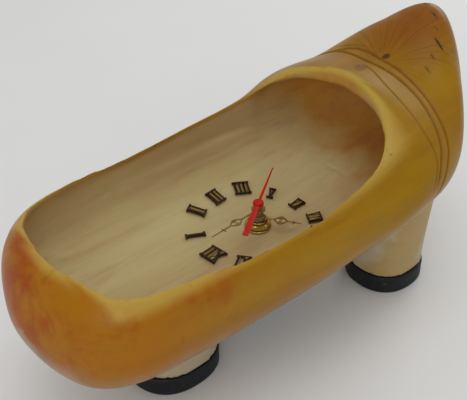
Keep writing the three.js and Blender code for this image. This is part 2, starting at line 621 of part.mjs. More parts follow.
const NUB_LENGTH = 1.4;
const batteryY = insideHalf - SEAT_GAP - CELL_RADIUS;
const batteryZ = coverTop + SEAT_GAP + CELL_RADIUS;
const batteryFrom = -(CELL_LENGTH + NUB_LENGTH) / 2;
function battery() {
  const corner = 0.6;
  const steps = [[0, 0], [CELL_RADIUS - corner, 0], [CELL_RADIUS, corner], [CELL_RADIUS, CELL_LENGTH - corner],
    [CELL_RADIUS - corner, CELL_LENGTH], [2.7, CELL_LENGTH], [2.7, CELL_LENGTH + NUB_LENGTH],
    [0, CELL_LENGTH + NUB_LENGTH]];
  const shape = new THREE.LatheGeometry(steps.map(([r, h]) => new THREE.Vector2(r, h)), 24);
  shape.rotateZ(-Math.PI / 2).translate(batteryFrom, batteryY, batteryZ);
  return solid(shape);
}

// A contact fills the space from the end of the cell to the wall of the case.
const CONTACT_HALF = 4;
const contact = (x0, x1) =>
  block(x0, x1, batteryY - CONTACT_HALF, batteryY + CONTACT_HALF, batteryZ - CONTACT_HALF, batteryZ + CONTACT_HALF);
const negativeContact = () => contact(-insideHalf + SEAT_GAP, batteryFrom - SEAT_GAP);
const positiveContact = () => contact(-batteryFrom + SEAT_GAP, insideHalf - SEAT_GAP);

// ---------------------------------------------------------------- hands, pointing to +X
const HAND_SEAT = 0.1; // a hand's hub is pressed on, all but touching its tube
function flatHand(hubRadius, bore, points, z) {
  const outline = new THREE.Shape(points.map(([x, y]) => new THREE.Vector2(x, y)));
  return plate(outline, z, z + HAND_THICKNESS)
    .add(post(hubRadius, z, z + 0.9, 0, 0, 20))
    .subtract(post(bore + HAND_SEAT, z - 1, z + 3, 0, 0, 20));
}

// Half of a hand's outline is given along its length as shares of it, and is mirrored.
function handOutline(length, halves) {
  const side = halves.map(([share, half]) => [share * length, half]);
  return [...side.map(([x, y]) => [x, -y]), ...side.reverse().map(([x, y]) => [x, y])];
}

const hourHand = () => flatHand(3.7, HOUR_TUBE_RADIUS,
  handOutline(HOUR_HAND_LENGTH, [[0, 1.2], [0.3, 0.9], [0.45, 2.6], [0.58, 2.9], [0.7, 0.9], [0.8, 2.2], [0.84, 1], [1, 0.2]]),
  INSOLE_Z + HOUR_HAND_Z);
const minuteHand = () => flatHand(2.9, MINUTE_TUBE_RADIUS,
  handOutline(MINUTE_HAND_LENGTH, [[0, 1], [0.3, 0.8], [0.42, 1.9], [0.55, 1.9], [0.68, 0.7], [1, 0.2]]),
  INSOLE_Z + MINUTE_HAND_Z);

const SECOND_HUB_RADIUS = 2.6;
function secondHand() {
  const z = INSOLE_Z + SECOND_HAND_Z;
  const outline = [[-SECOND_TAIL_LENGTH, -1.3], [-8, -1.3], [-6, -0.6], [6, -0.6], [SECOND_HAND_LENGTH, -0.15],
    [SECOND_HAND_LENGTH, 0.15], [6, 0.6], [-6, 0.6], [-8, 1.3], [-SECOND_TAIL_LENGTH, 1.3]];
  return plate(new THREE.Shape(outline.map(([x, y]) => new THREE.Vector2(x, y))), z, z + HAND_THICKNESS)
    .add(post(SECOND_HUB_RADIUS, z - 0.6, z + 1.4, 0, 0, 20))
    .subtract(post(SECOND_ARBOR_RADIUS + HAND_SEAT, z - 2, z + 0.6 + HAND_SEAT, 0, 0, 10));
}

// ---------------------------------------------------------------- the assembly
const finish = (color, roughness, metalness = 0) => new THREE.MeshStandardMaterial({ color, roughness, metalness });
const wood = finish(0xb4791e, 0.35);
const rubber = finish(0x1b1d22, 0.7);
const steel = finish(0xb9bcc0, 0.35, 1);
const brass = finish(0xc9a24a, 0.3, 1);
const black = finish(0x1a1512, 0.5);
const casing = finish(0x202022, 0.55);
const white = finish(0xe8e6de, 0.5);
const copper = finish(0xb06a34, 0.4, 1);
const board = finish(0x2d6b3c, 0.6);
const red = finish(0xc0281c, 0.4);

const clog = new THREE.Group();
const clock = new THREE.Group();
clock.position.x = SHAFT_X;
clog.add(clock);

function add(name, made, material, parent = clog, at = { x: 0, y: 0 }) {
  const mesh = new THREE.Mesh(geometryOf(made), material);
  mesh.name = name;
  mesh.position.set(at.x, at.y, 0);
  parent.add(mesh);
  return mesh;
}

add("clog_body", clogBody(), wood);
for (const leg of LEGS) {
  add(`rubber_tip_${leg.name}`, rubberTip(leg), rubber);
  add(`tip_screw_${leg.name}`, tipScrew(leg), steel);
}

// The numerals lie on the hollow of the insole. Each one is tilted to it, and rests where the
// curved wood stands highest under its middle, corners and edges.
const FACET_PLAY = 0.4; // the insole's facets stand this much above its true curve at most
const clockwise = (degrees) => Math.PI - (degrees + DIAL_TURN) * RAD;
NUMERALS_LAID.forEach(([word, radius, past, share], hour) => {
  const out = clockwise(30 * hour + past);
  const at = polar(radius, out, { x: SHAFT_X, y: 0 });
  const rise = (dx, dy) => (insoleHeight(at.x + dx, at.y + dy) - insoleHeight(at.x - dx, at.y - dy)) / 6;
  const up = new THREE.Vector3(-rise(3, 0), -rise(0, 3), 1).normalize();
  const outwards = new THREE.Vector3(Math.cos(out), Math.sin(out), 0);
  const across = new THREE.Vector3().crossVectors(outwards, up).normalize();
  const mesh = add(`numeral_${String(hour || 12).padStart(2, "0")}`, numeral(word, share), black);
  mesh.quaternion.setFromRotationMatrix(
    new THREE.Matrix4().makeBasis(across, new THREE.Vector3().crossVectors(up, across), up),
  );
  const base = new THREE.Vector3(at.x, at.y, insoleHeight(at.x, at.y));
  const sides = [-0.5, 0, 0.5];
  const stands = sides.flatMap((a) => sides.map((b) => {
    const under = base.clone()
      .addScaledVector(outwards, a * share * NUMERAL_HEIGHT)
      .addScaledVector(across, b * share * numeralWidth(word));
    return under.setZ(insoleHeight(under.x, under.y)).sub(base).dot(up);
  }));
  mesh.position.copy(base).addScaledVector(up, Math.max(...stands) + FACET_PLAY + SEAT_GAP);
});

add("movement_gasket", tube(WASHER_RADIUS + 3, BUSH_RADIUS + SEAT_GAP, caseTop + SEAT_GAP, pocketTop - SEAT_GAP), rubber, clock);
add("threaded_bush", threadedBush(), brass, clock);
add("brass_washer", tube(WASHER_RADIUS, BUSH_RADIUS + SEAT_GAP, washerZ, washerZ + WASHER_THICKNESS, 24), brass, clock);
add("brass_nut", post(NUT_FLATS / Math.sqrt(3), nutZ, nutZ + NUT_THICKNESS, 0, 0, 6)
  .subtract(post(BUSH_RADIUS + SEAT_GAP, nutZ - 1, nutZ + NUT_THICKNESS + 1, 0, 0, 24)), brass, clock);

add("movement_front_case", frontCase(), casing, clock);
add("movement_back_cover", backCover(), casing, clock);
add("train_plate", trainPlate(), casing, clock);
add("circuit_board", circuitBoard(), board, clock);
add("chip", chip(), black, clock);
add("quartz_crystal", crystal(), steel, clock);
add("stator", stator(), steel, clock);
add("coil_bobbin", coilBobbin(), white, clock);
add("coil_winding", coilWinding(), copper, clock);
add("battery", battery(), steel, clock);
add("battery_contact_negative", negativeContact(), brass, clock);
add("battery_contact_positive", positiveContact(), brass, clock);

add("rotor", rotor(), white, clock, rotorAt);
add("intermediate_wheel", intermediateWheel(), white, clock, intermediateAt);
add("second_wheel", secondWheel(), white, clock);
add("third_wheel", thirdWheel(), white, clock, thirdAt);
add("centre_wheel", centreWheel(), white, clock);
add("minute_tube", minuteTube(), white, clock);
add("minute_wheel", minuteWheel(), white, clock, minuteAt);
add("hour_wheel", hourWheel(), white, clock);
add("time_set_knob", timeSetKnob(), white, clock, setAt);

const hands = [
  ["hour_hand", hourHand, brass, HOUR_SHOWN * 30 + MINUTE_SHOWN / 2],
  ["minute_hand", minuteHand, brass, MINUTE_SHOWN * 6],
  ["second_hand", secondHand, red, SECOND_SHOWN * 6],
];
for (const [name, make, material, degrees] of hands)
  add(name, make(), material, clock).rotation.z = clockwise(degrees);

export default clog;
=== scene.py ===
# Wooden clog with a quartz clock set in its insole.
import math

import bmesh
import bpy
import numpy as np
from mathutils import Matrix, Vector
from mathutils.bvhtree import BVHTree


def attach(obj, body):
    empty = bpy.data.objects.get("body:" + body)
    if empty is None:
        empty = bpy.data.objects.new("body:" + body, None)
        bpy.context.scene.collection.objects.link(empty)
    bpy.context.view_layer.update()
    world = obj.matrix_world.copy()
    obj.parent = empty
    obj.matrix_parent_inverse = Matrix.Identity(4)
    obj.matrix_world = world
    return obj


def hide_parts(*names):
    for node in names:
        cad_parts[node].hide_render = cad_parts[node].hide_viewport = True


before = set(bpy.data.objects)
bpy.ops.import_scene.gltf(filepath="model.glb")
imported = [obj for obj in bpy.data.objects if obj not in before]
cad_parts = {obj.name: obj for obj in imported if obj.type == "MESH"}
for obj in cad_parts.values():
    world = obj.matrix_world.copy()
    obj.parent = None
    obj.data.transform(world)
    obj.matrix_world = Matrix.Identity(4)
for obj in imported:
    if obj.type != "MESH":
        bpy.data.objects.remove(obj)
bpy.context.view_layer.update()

MM = 0.001

# ---------------------------------------------------------------- the room
# A pale paper floor, a camera above the heel's right-hand side, and soft light: a wide lamp
# overhead, one from the heel side and one behind the toe that draws its edge.
camera_data = bpy.data.cameras.new("camera")
camera_data.lens = 66.57
camera_data.sensor_width = 36
camera = bpy.data.objects.new("camera", camera_data)
azimuth, elevation = math.radians(-42), math.radians(35)
level = math.cos(elevation)
back = Vector((math.sin(azimuth) * level, -math.cos(azimuth) * level, math.sin(elevation)))
right = Vector((math.cos(azimuth), math.sin(azimuth), 0))
turn = Matrix((right, back.cross(right), back)).transposed().to_4x4()
camera.matrix_world = Matrix.Translation((-0.2389, -0.2396, 0.3004)) @ turn
bpy.context.collection.objects.link(camera)
bpy.context.scene.camera = camera


def lamp(name, place, size, power, aim=(0, 0, 0.06)):
    light = bpy.data.lights.new(name, "AREA")
    light.energy, light.size = power, size
    made = bpy.data.objects.new(name, light)
    made.location = place
    made.rotation_euler = (Vector(aim) - Vector(place)).to_track_quat("-Z", "Y").to_euler()
    bpy.context.collection.objects.link(made)


lamp("overhead", (-0.25, -0.15, 1.3), 0.9, 3.6)
lamp("heel_side", (-1.1, -0.7, 0.55), 0.8, 2.6)
lamp("behind_toe", (1.0, 0.3, 0.6), 0.6, 2.6)

world = bpy.data.worlds.new("room")
bpy.context.scene.world = world
world.use_nodes = True
world.node_tree.nodes["Background"].inputs["Color"].default_value = (1, 1, 1, 1)
world.node_tree.nodes["Background"].inputs["Strength"].default_value = 0.5
bpy.context.scene.view_settings.view_transform = "Standard"


class Value:
    """An output of a node. Sums and products of values add their Math nodes."""

    def __init__(self, finish, socket):
        self.finish, self.socket = finish, socket

    def math(self, operation, *terms):
        return self.finish.node("Math", {"operation": operation}, terms)

    def __add__(self, other):
        return self.math("ADD", self, other)

    def __sub__(self, other):
        return self.math("SUBTRACT", self, other)

    def __rsub__(self, other):
        return self.math("SUBTRACT", other, self)

    def __mul__(self, other):
        return self.math("MULTIPLY", self, other)

    def __truediv__(self, other):
        return self.math("DIVIDE", self, other)

    __radd__ = __add__
    __rmul__ = __mul__


class Finish:
    """A material: constants go on its shader, and what varies comes from nodes."""

    def __init__(self, name, **constants):
        self.material = bpy.data.materials.new(name)
        self.material.use_nodes = True
        self.tree = self.material.node_tree
        self.shader = self.tree.nodes["Principled BSDF"]
        for socket, constant in constants.items():
            self.shader.inputs[socket.replace("_", " ")].default_value = constant

    def node(self, kind, settings=None, inputs=(), out=0):
        node = self.tree.nodes.new("ShaderNode" + kind)
        for name, setting in (settings or {}).items():
            if name == "stops":
                while len(node.color_ramp.elements) < len(setting):
                    node.color_ramp.elements.new(1.0)
                for element, (position, level) in zip(node.color_ramp.elements, setting):
                    element.position = position
                    element.color = level if isinstance(level, tuple) else (level, level, level, 1)
            else:
                setattr(node, name, setting)
        pairs = inputs.items() if isinstance(inputs, dict) else enumerate(inputs)
        for key, given in pairs:
            if isinstance(given, Value):
                self.tree.links.new(given.socket, node.inputs[key])
            else:
                node.inputs[key].default_value = given
        return Value(self, node.outputs[out])

    def mix(self, factor, first, second, blend="MIX"):
        settings = {"data_type": "RGBA", "blend_type": blend}
        return self.node("Mix", settings, {0: factor, 6: first, 7: second}, out=2)

    def ramp(self, level, *stops):
        return self.node("ValToRGB", {"stops": stops}, {"Fac": level})

    def attribute(self, name):
        return self.node("Attribute", {"attribute_name": name}, out=2)

    def place(self, stretch=(1, 1, 1), turned=(0, 0, 0)):
        spot = self.node("TexCoord", out=3)
        return self.node("Mapping", None, {"Vector": spot, "Scale": stretch, "Rotation": turned})

    def noise(self, scale, detail=2.0, distortion=0.0, roughness=0.5, stretch=(1, 1, 1), turned=(0, 0, 0)):
        inputs = {"Vector": self.place(stretch, turned), "Scale": scale, "Detail": detail,
                  "Roughness": roughness, "Distortion": distortion}
        return self.node("TexNoise", None, inputs)

    def drive(self, socket, value):
        self.tree.links.new(value.socket, self.shader.inputs[socket])

    def bump(self, height, strength, distance):
        inputs = {"Strength": strength, "Distance": distance, "Height": height}
        self.drive("Normal", self.node("Bump", None, inputs))


def colour(red, green, blue):
    return (red, green, blue, 1)


paper = Finish("paper", Roughness=0.9)
paper.drive("Base Color", paper.mix(paper.noise(9, 3), colour(0.82, 0.82, 0.81), colour(0.86, 0.86, 0.85)))
floor_mesh = bpy.data.meshes.new("floor")
floor_mesh.from_pydata([(-4, -4, 0), (4, -4, 0), (4, 4, 0), (-4, 4, 0)], [], [(0, 1, 2, 3)])
floor = bpy.data.objects.new("floor", floor_mesh)
floor_mesh.materials.append(paper.material)
bpy.context.collection.objects.link(floor)

# ---------------------------------------------------------------- the carved clog
# One block of pale wood: the outside is shaped and hollowed by hand and dipped in amber
# varnish down to the underside, the legs and the hollow stay bare. All in millimetres here.
LENGTH, HALF_WIDTH = 270, 59
INSOLE = 51.5
STEP = 1.3  # spacing of the carved surface's points


def profile(points, rounded=False):
    """A smooth outline along the clog, as a function of the distance from the heel."""
    points = np.array(points, float)
    if rounded:
        first, last = points[1].copy(), points[-2].copy()
        first[1], last[1] = 2 * points[0, 1] - first[1], 2 * points[-1, 1] - last[1]
        points = np.vstack([first, points, last])
    padded = np.vstack([points[0], points, points[-1]])
    t = np.linspace(0, 1, 200, endpoint=False)[:, None]
    line = []
    for a, b, c, d in zip(padded, padded[1:], padded[2:], padded[3:]):
        square, cube = 2 * a - 5 * b + 4 * c - d, 3 * b - a - 3 * c + d
        line.append(0.5 * (2 * b + (c - a) * t + square * t**2 + cube * t**3))
    line = np.vstack(line + [points[-1:]])
    if rounded:
        line = line[200:-200]
    along = np.maximum.accumulate(line[:, 0] + np.arange(len(line)) * 1e-9)
    return lambda u: np.interp(u, along, line[:, 1])


# Both forms are drawn along the clog, from the heel: half width, top and bottom in millimetres,
# the share of the height where it is widest, and how square the section is above and below that.
W = HALF_WIDTH
WALL = 5.2
outer = dict(
    start=0, end=LENGTH,
    half=profile([(0, 0), (9, 0.5 * W), (27, 0.76 * W), (55, 0.835 * W), (92, 0.88 * W), (137, 0.94 * W),
                  (178, W), (210, 0.89 * W), (236, 0.52 * W), (256, 0.17 * W), (270, 0)], True),
    top=profile([(0, 65), (4, 78), (9, 86), (17, 91.5), (27, 94), (55, 97), (92, 97.5),
                 (156, 100.5), (183, 111), (210, 113), (232, 127), (249, 131), (270, 103)], True),
    bottom=profile([(0, 65), (11, 38), (32, 30), (73, 28), (119, 32), (165, 42), (201, 47), (229, 66),
                    (251, 75), (270, 103)], True),
    widest=profile([(0, 0.5), (55, 0.56), (183, 0.5), (270, 0.5)]),
    upper=profile([(0, 2.6), (17, 3.2), (30, 3.5), (56, 3.4), (80, 3.1), (98, 3), (130, 2.8),
                   (170, 2.1), (210, 2), (270, 1.8)]),
    lower=profile([(0, 2.2), (73, 2), (270, 2)]),
)
hollow = dict(
    start=12, end=236,
    half=profile([(12, 0), (16, 0.42 * W), (24, 0.66 * W), (35, 0.8 * W - WALL), (60, 45), (92, 46.4),
                  (130, 47.6), (160, 46), (178, W - 13), (205, 0.69 * W), (225, 0.4 * W), (236, 0)], True),
    top=profile([(12, 72), (19, 82), (35, 92), (92, 92), (150, 95.5), (183, 103), (205, 103.5), (225, 98),
                 (236, 82)], True),
    bottom=profile([(12, 72), (19, 60), (35, INSOLE + 1.5), (70, INSOLE), (128, INSOLE), (165, INSOLE + 1.5),
                    (200, INSOLE + 7), (225, 68), (236, 82)], True),
    widest=profile([(12, 0.5), (60, 0.72), (150, 0.72), (236, 0.5)]),
    upper=profile([(12, 2.4), (60, 3.4), (150, 3), (236, 2)]),
    lower=profile([(12, 2.2), (70, 3), (165, 3), (236, 2.2)]),
)
MOUTH_START, MOUTH_LENGTH, MOUTH_LEAN = 16.5, 170.5, 4
MOUTH_HALF_WIDTH = 47
# the mouth's half width: [share of its length from the heel, share of its widest]
MOUTH_SHARES = [(0, 0), (0.023, 0.52), (0.065, 0.75), (0.16, 0.87), (0.4, 0.965), (0.65, 1), (0.85, 0.92),
                (0.95, 0.62), (1, 0)]
mouth_half = profile([(MOUTH_START + s * MOUTH_LENGTH, MOUTH_HALF_WIDTH * w) for s, w in MOUTH_SHARES], True)
LEG_SQUARENESS = 2.3
# each leg's place, then half its length and half its width at the tip
LEGS = {
    "heel": (-63.4, 0, 22.6, 21.4),
    "front_left": (64.7, 23.5, 19.8, 19),
    "front_right": (64.7, -23.5, 19.8, 19),
}
TIP_TOP = 10.3  # where the wood of a leg meets its rubber tip


def form_level(form, points):
    """How far outside a carved form the points are: 0 on it, 1 at twice its size."""
    x, y, z = points.T
    u = np.clip(x + LENGTH / 2, form["start"] + 0.05, form["end"] - 0.05)
    half = np.maximum(form["half"](u), 0.3)
    top, bottom = form["top"](u), form["bottom"](u)
    middle = bottom + (top - bottom) * form["widest"](u)
    reach = np.maximum(np.where(z > middle, top - middle, middle - bottom), 0.3)
    power = np.where(z > middle, form["upper"](u), form["lower"](u))
    level = ((np.abs(y) / half) ** power + (np.abs(z - middle) / reach) ** power) ** (1 / power) - 1
    return level + np.abs(x + LENGTH / 2 - u) / 0.3


def mouth_place(points):
    """Distance along the clog, kept within the mouth, and distance from the mouth's own middle."""
    x, y, _ = points.T
    u = np.clip(x + LENGTH / 2, MOUTH_START + 0.05, MOUTH_START + MOUTH_LENGTH - 0.05)
    lean = MOUTH_LEAN * np.maximum((u - MOUTH_START) / MOUTH_LENGTH - 0.6, 0) / 0.4
    return u, np.abs(y - lean)


def mouth_level(points):
    """How far outside the mouth the points are: it cuts straight down to above the insole."""
    u, away = mouth_place(points)
    half = np.maximum(mouth_half(u), 0.3)
    side = away / half - 1 + np.abs(points[:, 0] + LENGTH / 2 - u) / 0.3
    return np.maximum(side, (INSOLE + 22 - points[:, 2]) / 20)


def leg_level(leg, points):
    """How far outside a leg the points are: a squarish oval that flares as it meets the sole."""
    x, y, z = points.T
    across, deep, along, wide = leg
    flare = 1.5 * np.clip((z - 14) / 30, 0, 1.4) ** 1.5 - 0.8
    ahead, aside = np.abs((x - across) / (along + flare)), np.abs((y - deep) / (wide + flare))
    round_part = (ahead**LEG_SQUARENESS + aside**LEG_SQUARENESS) ** (1 / LEG_SQUARENESS) - 1
    return np.maximum(round_part, np.maximum((TIP_TOP - z) / 20, (z - 66) / 20))


def distance(level, points):
    """Distance in millimetres to where the level is 0, from its slope."""
    here = level(points)
    slope = [(level(points + step) - here) / 0.05 for step in np.eye(3) * 0.05]
    return here / np.maximum(np.sqrt(sum(part**2 for part in slope)), 0.012)


def blend_low(a, b, radius):
    """The lower of two distances, with a rounded join."""
    share = np.clip(0.5 + 0.5 * (b - a) / radius, 0, 1)
    return b + (a - b) * share - radius * share * (1 - share)


def leg_distance(points):
    legs = [distance(lambda p, leg=leg: leg_level(leg, p), points) for leg in LEGS.values()]
    return np.minimum.reduce(legs)


def opening_distance(points):
    """Distance to the hollow and its mouth, never less than a share of the way in near their noses."""
    x, y, z = points.T
    u = x + LENGTH / 2
    level = form_level(hollow, points)
    middle = hollow["bottom"](u) + (hollow["top"](u) - hollow["bottom"](u)) * hollow["widest"](u)
    floor_of = 0.3 * np.hypot(y, z - middle) * level / np.maximum(level + 1, 0.1)
    inner = distance(lambda p: form_level(hollow, p), points)
    inner = np.where(level > 0.05, np.maximum(inner, floor_of), inner)
    mouth = distance(mouth_level, points)
    u, away = mouth_place(points)
    past = 0.3 * (away - mouth_half(u))
    mouth = np.where(mouth_level(points) > 0.02, np.maximum(mouth, past), mouth)
    return blend_low(inner, mouth, 3)


# Each line cut in the instep: its points are [degrees around the clog from its left side,
# mm from the middle towards the toe]; then its depth and half width.
GROOVES = [
    ([(-8, 60), (20, 70), (53, 77.3), (88, 75.3), (116, 73.8), (140, 70.8), (155, 67.6), (166, 63.9),
      (175, 57.9), (186, 52)], 0.75, 0.6),
    ([(-4, 56), (22, 68), (41, 73.9), (59, 72.8), (77, 70.8), (107, 69.8), (133, 67.4), (149, 64.1),
      (162, 59.6), (171, 54), (180, 49.5)], 0.75, 0.6),
    ([(80, 66.5), (94, 64.8), (118, 59), (140, 55.2), (156, 53.4), (166, 52.6), (173, 50), (181, 46)],
     0.4, 0.45),
    ([(36, 78.5), (52, 79.5), (66, 79)], 0.35, 0.45),
]
CRACKS = [
    ([(118, 95.9), (125, 95.1), (133, 94.2)], 0.7, 0.35),
    ([(97, 104.8), (103, 104.9), (108, 104.2)], 0.4, 0.35),
    ([(111, 100.6), (117, 100)], 0.4, 0.35),
    ([(124, 88.8), (131, 88.1)], 0.4, 0.35),
    ([(126, 83), (134, 82.2)], 0.3, 0.35),
    ([(80, 109), (90, 108.6)], 0.4, 0.35),
]


def cut_depth(points, spread=1.0, lines=GROOVES + CRACKS):
    """How deep the carved lines and cracks are at the points of the outside."""
    x, y, z = points.T
    u = np.clip(x + LENGTH / 2, 1, LENGTH - 1)
    top, bottom = outer["top"](u), outer["bottom"](u)
    around = np.degrees(np.arctan2(z - bottom - (top - bottom) * outer["widest"](u), y))
    around = np.where(around < -90, around + 360, around)
    deep = np.zeros(len(points))
    for line, depth, half_width in lines:
        route = profile(line)
        start, end = line[0][0], line[-1][0]
        centre = route(np.clip(around, start, end))
        slant = (route(np.clip(around + 1, start, end)) - route(np.clip(around - 1, start, end))) / 2
        off = (x - centre) / np.sqrt(1 + slant**2)
        fade = np.clip((around - start) / 6 + 0.15, 0, 1) * np.clip((end - around) / 6 + 0.15, 0, 1)
        inside = (around > start) & (around < end)
        deep = np.maximum(deep, depth * fade * inside * np.exp(-((off / (half_width * spread)) ** 2)))
    return deep


def clog_distance(points):
    """Distance to the clog's surface: its outside with legs and cuts, less the hollow and mouth."""
    solid = blend_low(distance(lambda p: form_level(outer, p), points), leg_distance(points), 9)
    return -blend_low(-(solid + cut_depth(points)), opening_distance(points), 1.8)


def rough_clog(points):
    """A quick stand-in for clog_distance, with the right sign."""
    legs = np.minimum.reduce([leg_level(leg, points) * 20 for leg in LEGS.values()])
    solid = np.minimum(form_level(outer, points) * 40, legs)
    return np.maximum(solid, -np.minimum(form_level(hollow, points) * 40, mouth_level(points) * 40))


def surface_net(level, low, high, step):
    """Quads around the region where level is negative: a point in each cell that it crosses."""
    axes = [np.arange(a, b + step, step) for a, b in zip(low, high)]
    grid = np.stack(np.meshgrid(*axes, indexing="ij"), -1)
    values = level(grid.reshape(-1, 3)).reshape(grid.shape[:3])
    corners = [(i, j, k) for i in (0, 1) for j in (0, 1) for k in (0, 1)]
    size = np.array(values.shape) - 1

    def part(c):
        return values[c[0]:c[0] + size[0], c[1]:c[1] + size[1], c[2]:c[2] + size[2]]

    inside = sum((part(c) < 0).astype(int) for c in corners)
    crossed = (inside > 0) & (inside < 8)
    cells = np.argwhere(crossed)
    index = np.full(crossed.shape, -1)
    index[crossed] = np.arange(len(cells))
    total, count = np.zeros((len(cells), 3)), np.zeros(len(cells))
    for c in corners:
        for axis in range(3):
            if c[axis]:
                continue
            d = list(c)
            d[axis] = 1
            a, b = part(c)[crossed], part(d)[crossed]
            hit = (a < 0) != (b < 0)
            share = np.where(hit, a / np.where(hit, a - b, 1), 0)
            spot = np.tile(np.array(c, float), (len(cells), 1))
            spot[:, axis] = share
            total += spot * hit[:, None]
            count += hit
    places = np.array(low) + (cells + total / count[:, None]) * step
    quads = []
    for axis in range(3):
        one, two = [(axis + 1) % 3, (axis + 2) % 3]
        step_on = [slice(None)] * 3
        step_on[axis] = slice(1, None)
        held = [slice(None)] * 3
        held[axis] = slice(0, -1)
        before, after = values[tuple(held)] < 0, values[tuple(step_on)] < 0
        at = np.argwhere(before != after)
        at = at[(at[:, one] > 0) & (at[:, two] > 0)]
        ring = []
        for back_one, back_two in ((1, 1), (0, 1), (0, 0), (1, 0)):
            cell = at.copy()
            cell[:, one] -= back_one
            cell[:, two] -= back_two
            ring.append(index[cell[:, 0], cell[:, 1], cell[:, 2]])
        ring = np.stack(ring, 1)
        leaving = before[tuple(at.T)]
        quads.append(np.where(leaving[:, None], ring, ring[:, ::-1]))
    return places, np.vstack(quads)


def settle(points, rounds):
    """Moves the points onto the clog's surface, along its slope."""
    for _ in range(rounds):
        here = clog_distance(points)
        slope = np.stack([(clog_distance(points + step) - here) / 0.08 for step in np.eye(3) * 0.08], 1)
        size = np.maximum((slope**2).sum(1), 0.15)
        points = points - np.clip(here / size, -1.5, 1.5)[:, None] * slope
    return points


def soften(made, points):
    """Moves points of a bmesh half way to the middle of their neighbours."""
    bmesh.ops.smooth_vert(made, verts=points, factor=0.5, use_axis_x=True, use_axis_y=True, use_axis_z=True)


places, quads = surface_net(rough_clog, (-137, -61.2, 8.2), (137, 61.2, 134.5), STEP)
clog_mesh = bpy.data.meshes.new("clog_wood")
clog_mesh.from_pydata(settle(places, 2).tolist(), [], quads.tolist())
carving = bmesh.new()
carving.from_mesh(clog_mesh)
soften(carving, carving.verts)
for _ in range(2):
    centres = np.array([face.calc_center_median() for face in carving.faces])
    near_cut = (cut_depth(centres, 3.2) > 0.06) & (form_level(outer, centres) > -0.05)
    carving.faces.ensure_lookup_table()
    edges = {edge for i in np.flatnonzero(near_cut) for edge in carving.faces[i].edges}
    bmesh.ops.subdivide_edges(carving, edges=list(edges), cuts=1, use_grid_fill=True)
bmesh.ops.recalc_face_normals(carving, faces=carving.faces)
carving.to_mesh(clog_mesh)
carving.free()
places = settle(np.array([v.co for v in clog_mesh.vertices]), 4)
places[:, 2] = np.maximum(places[:, 2], TIP_TOP)
clog_mesh.vertices.foreach_set("co", (places * MM).ravel())
outside = distance(lambda p: form_level(outer, p), places)
on_edge = (np.abs(opening_distance(places)) < 5) & (np.abs(outside) < 6)
on_edge &= (cut_depth(places) < 0.02) & (places[:, 2] > 70)
carving = bmesh.new()
carving.from_mesh(clog_mesh)
edge = [vertex for vertex, chosen in zip(carving.verts, on_edge) if chosen]
for _ in range(6):  # the rim was sanded round
    soften(carving, edge)
carving.to_mesh(clog_mesh)
carving.free()
clog_wood = bpy.data.objects.new("clog_wood", clog_mesh)
bpy.context.collection.objects.link(clog_wood)


def drill(piece, cutter):
    """Cuts a closed mesh out of a piece, and throws the cutter away."""
    cut = piece.modifiers.new("cut", "BOOLEAN")
    cut.operation, cut.object, cut.solver = "DIFFERENCE", cutter, "EXACT"
    scene_now = bpy.context.evaluated_depsgraph_get()
    shape = bpy.data.meshes.new_from_object(piece.evaluated_get(scene_now))
    piece.modifiers.remove(cut)
    piece.data = shape
    bpy.data.objects.remove(cutter)


def circle(made, centre, radius, height, sides):
    """A ring of new points in a bmesh, given in millimetres."""
    angles = [2 * math.pi * i / sides for i in range(sides)]
    return [made.verts.new(((centre[0] + radius * math.cos(a)) * MM, (centre[1] + radius * math.sin(a)) * MM,
                            height * MM)) for a in angles]


def join_rings(made, rings, sides):
    """Faces from each ring of points to the next, and from the last back to the first."""
    for low, high in zip(rings, rings[1:] + rings[:1]):
        for i in range(sides):
            j = (i + 1) % sides
            made.faces.new((low[i], low[j], high[j], high[i]))


def lathe(name, profile_points, sides=48, at=(0, 0), closed=False):
    """A turned piece about an upright axis: its profile is [radius, height] in millimetres."""
    made = bmesh.new()
    rings = []
    for radius, height in profile_points:
        if radius == 0:
            rings.append([made.verts.new((at[0] * MM, at[1] * MM, height * MM))])
        else:
            rings.append(circle(made, at, radius, height, sides))
    pairs = list(zip(rings, rings[1:])) + ([(rings[-1], rings[0])] if closed else [])
    for low, high in pairs:
        for i in range(sides):
            j = i + 1
            corners = [low[i % len(low)], low[j % len(low)], high[j % len(high)], high[i % len(high)]]
            face = list(dict.fromkeys(corners))
            if len(face) > 2:
                made.faces.new(face)
    bmesh.ops.recalc_face_normals(made, faces=made.faces)
    return piece_of(name, made)


def piece_of(name, made, smooth_below=35):
    """A Blender object from a bmesh, smooth except across edges sharper than the given angle."""
    mesh = bpy.data.meshes.new(name)
    made.to_mesh(mesh)
    made.free()
    mesh.shade_smooth()
    mesh.set_sharp_from_angle(angle=math.radians(smooth_below))
    piece = bpy.data.objects.new(name, mesh)
    bpy.context.collection.objects.link(piece)
    return piece


def hand_in(piece, finish, body, slot, *nodes):
    """Gives a piece its finish, the body that it rides on and the CAD nodes it stands for."""
    piece.data.materials.append(finish.material)
    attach(piece, body)
    if nodes:
        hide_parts(*nodes)


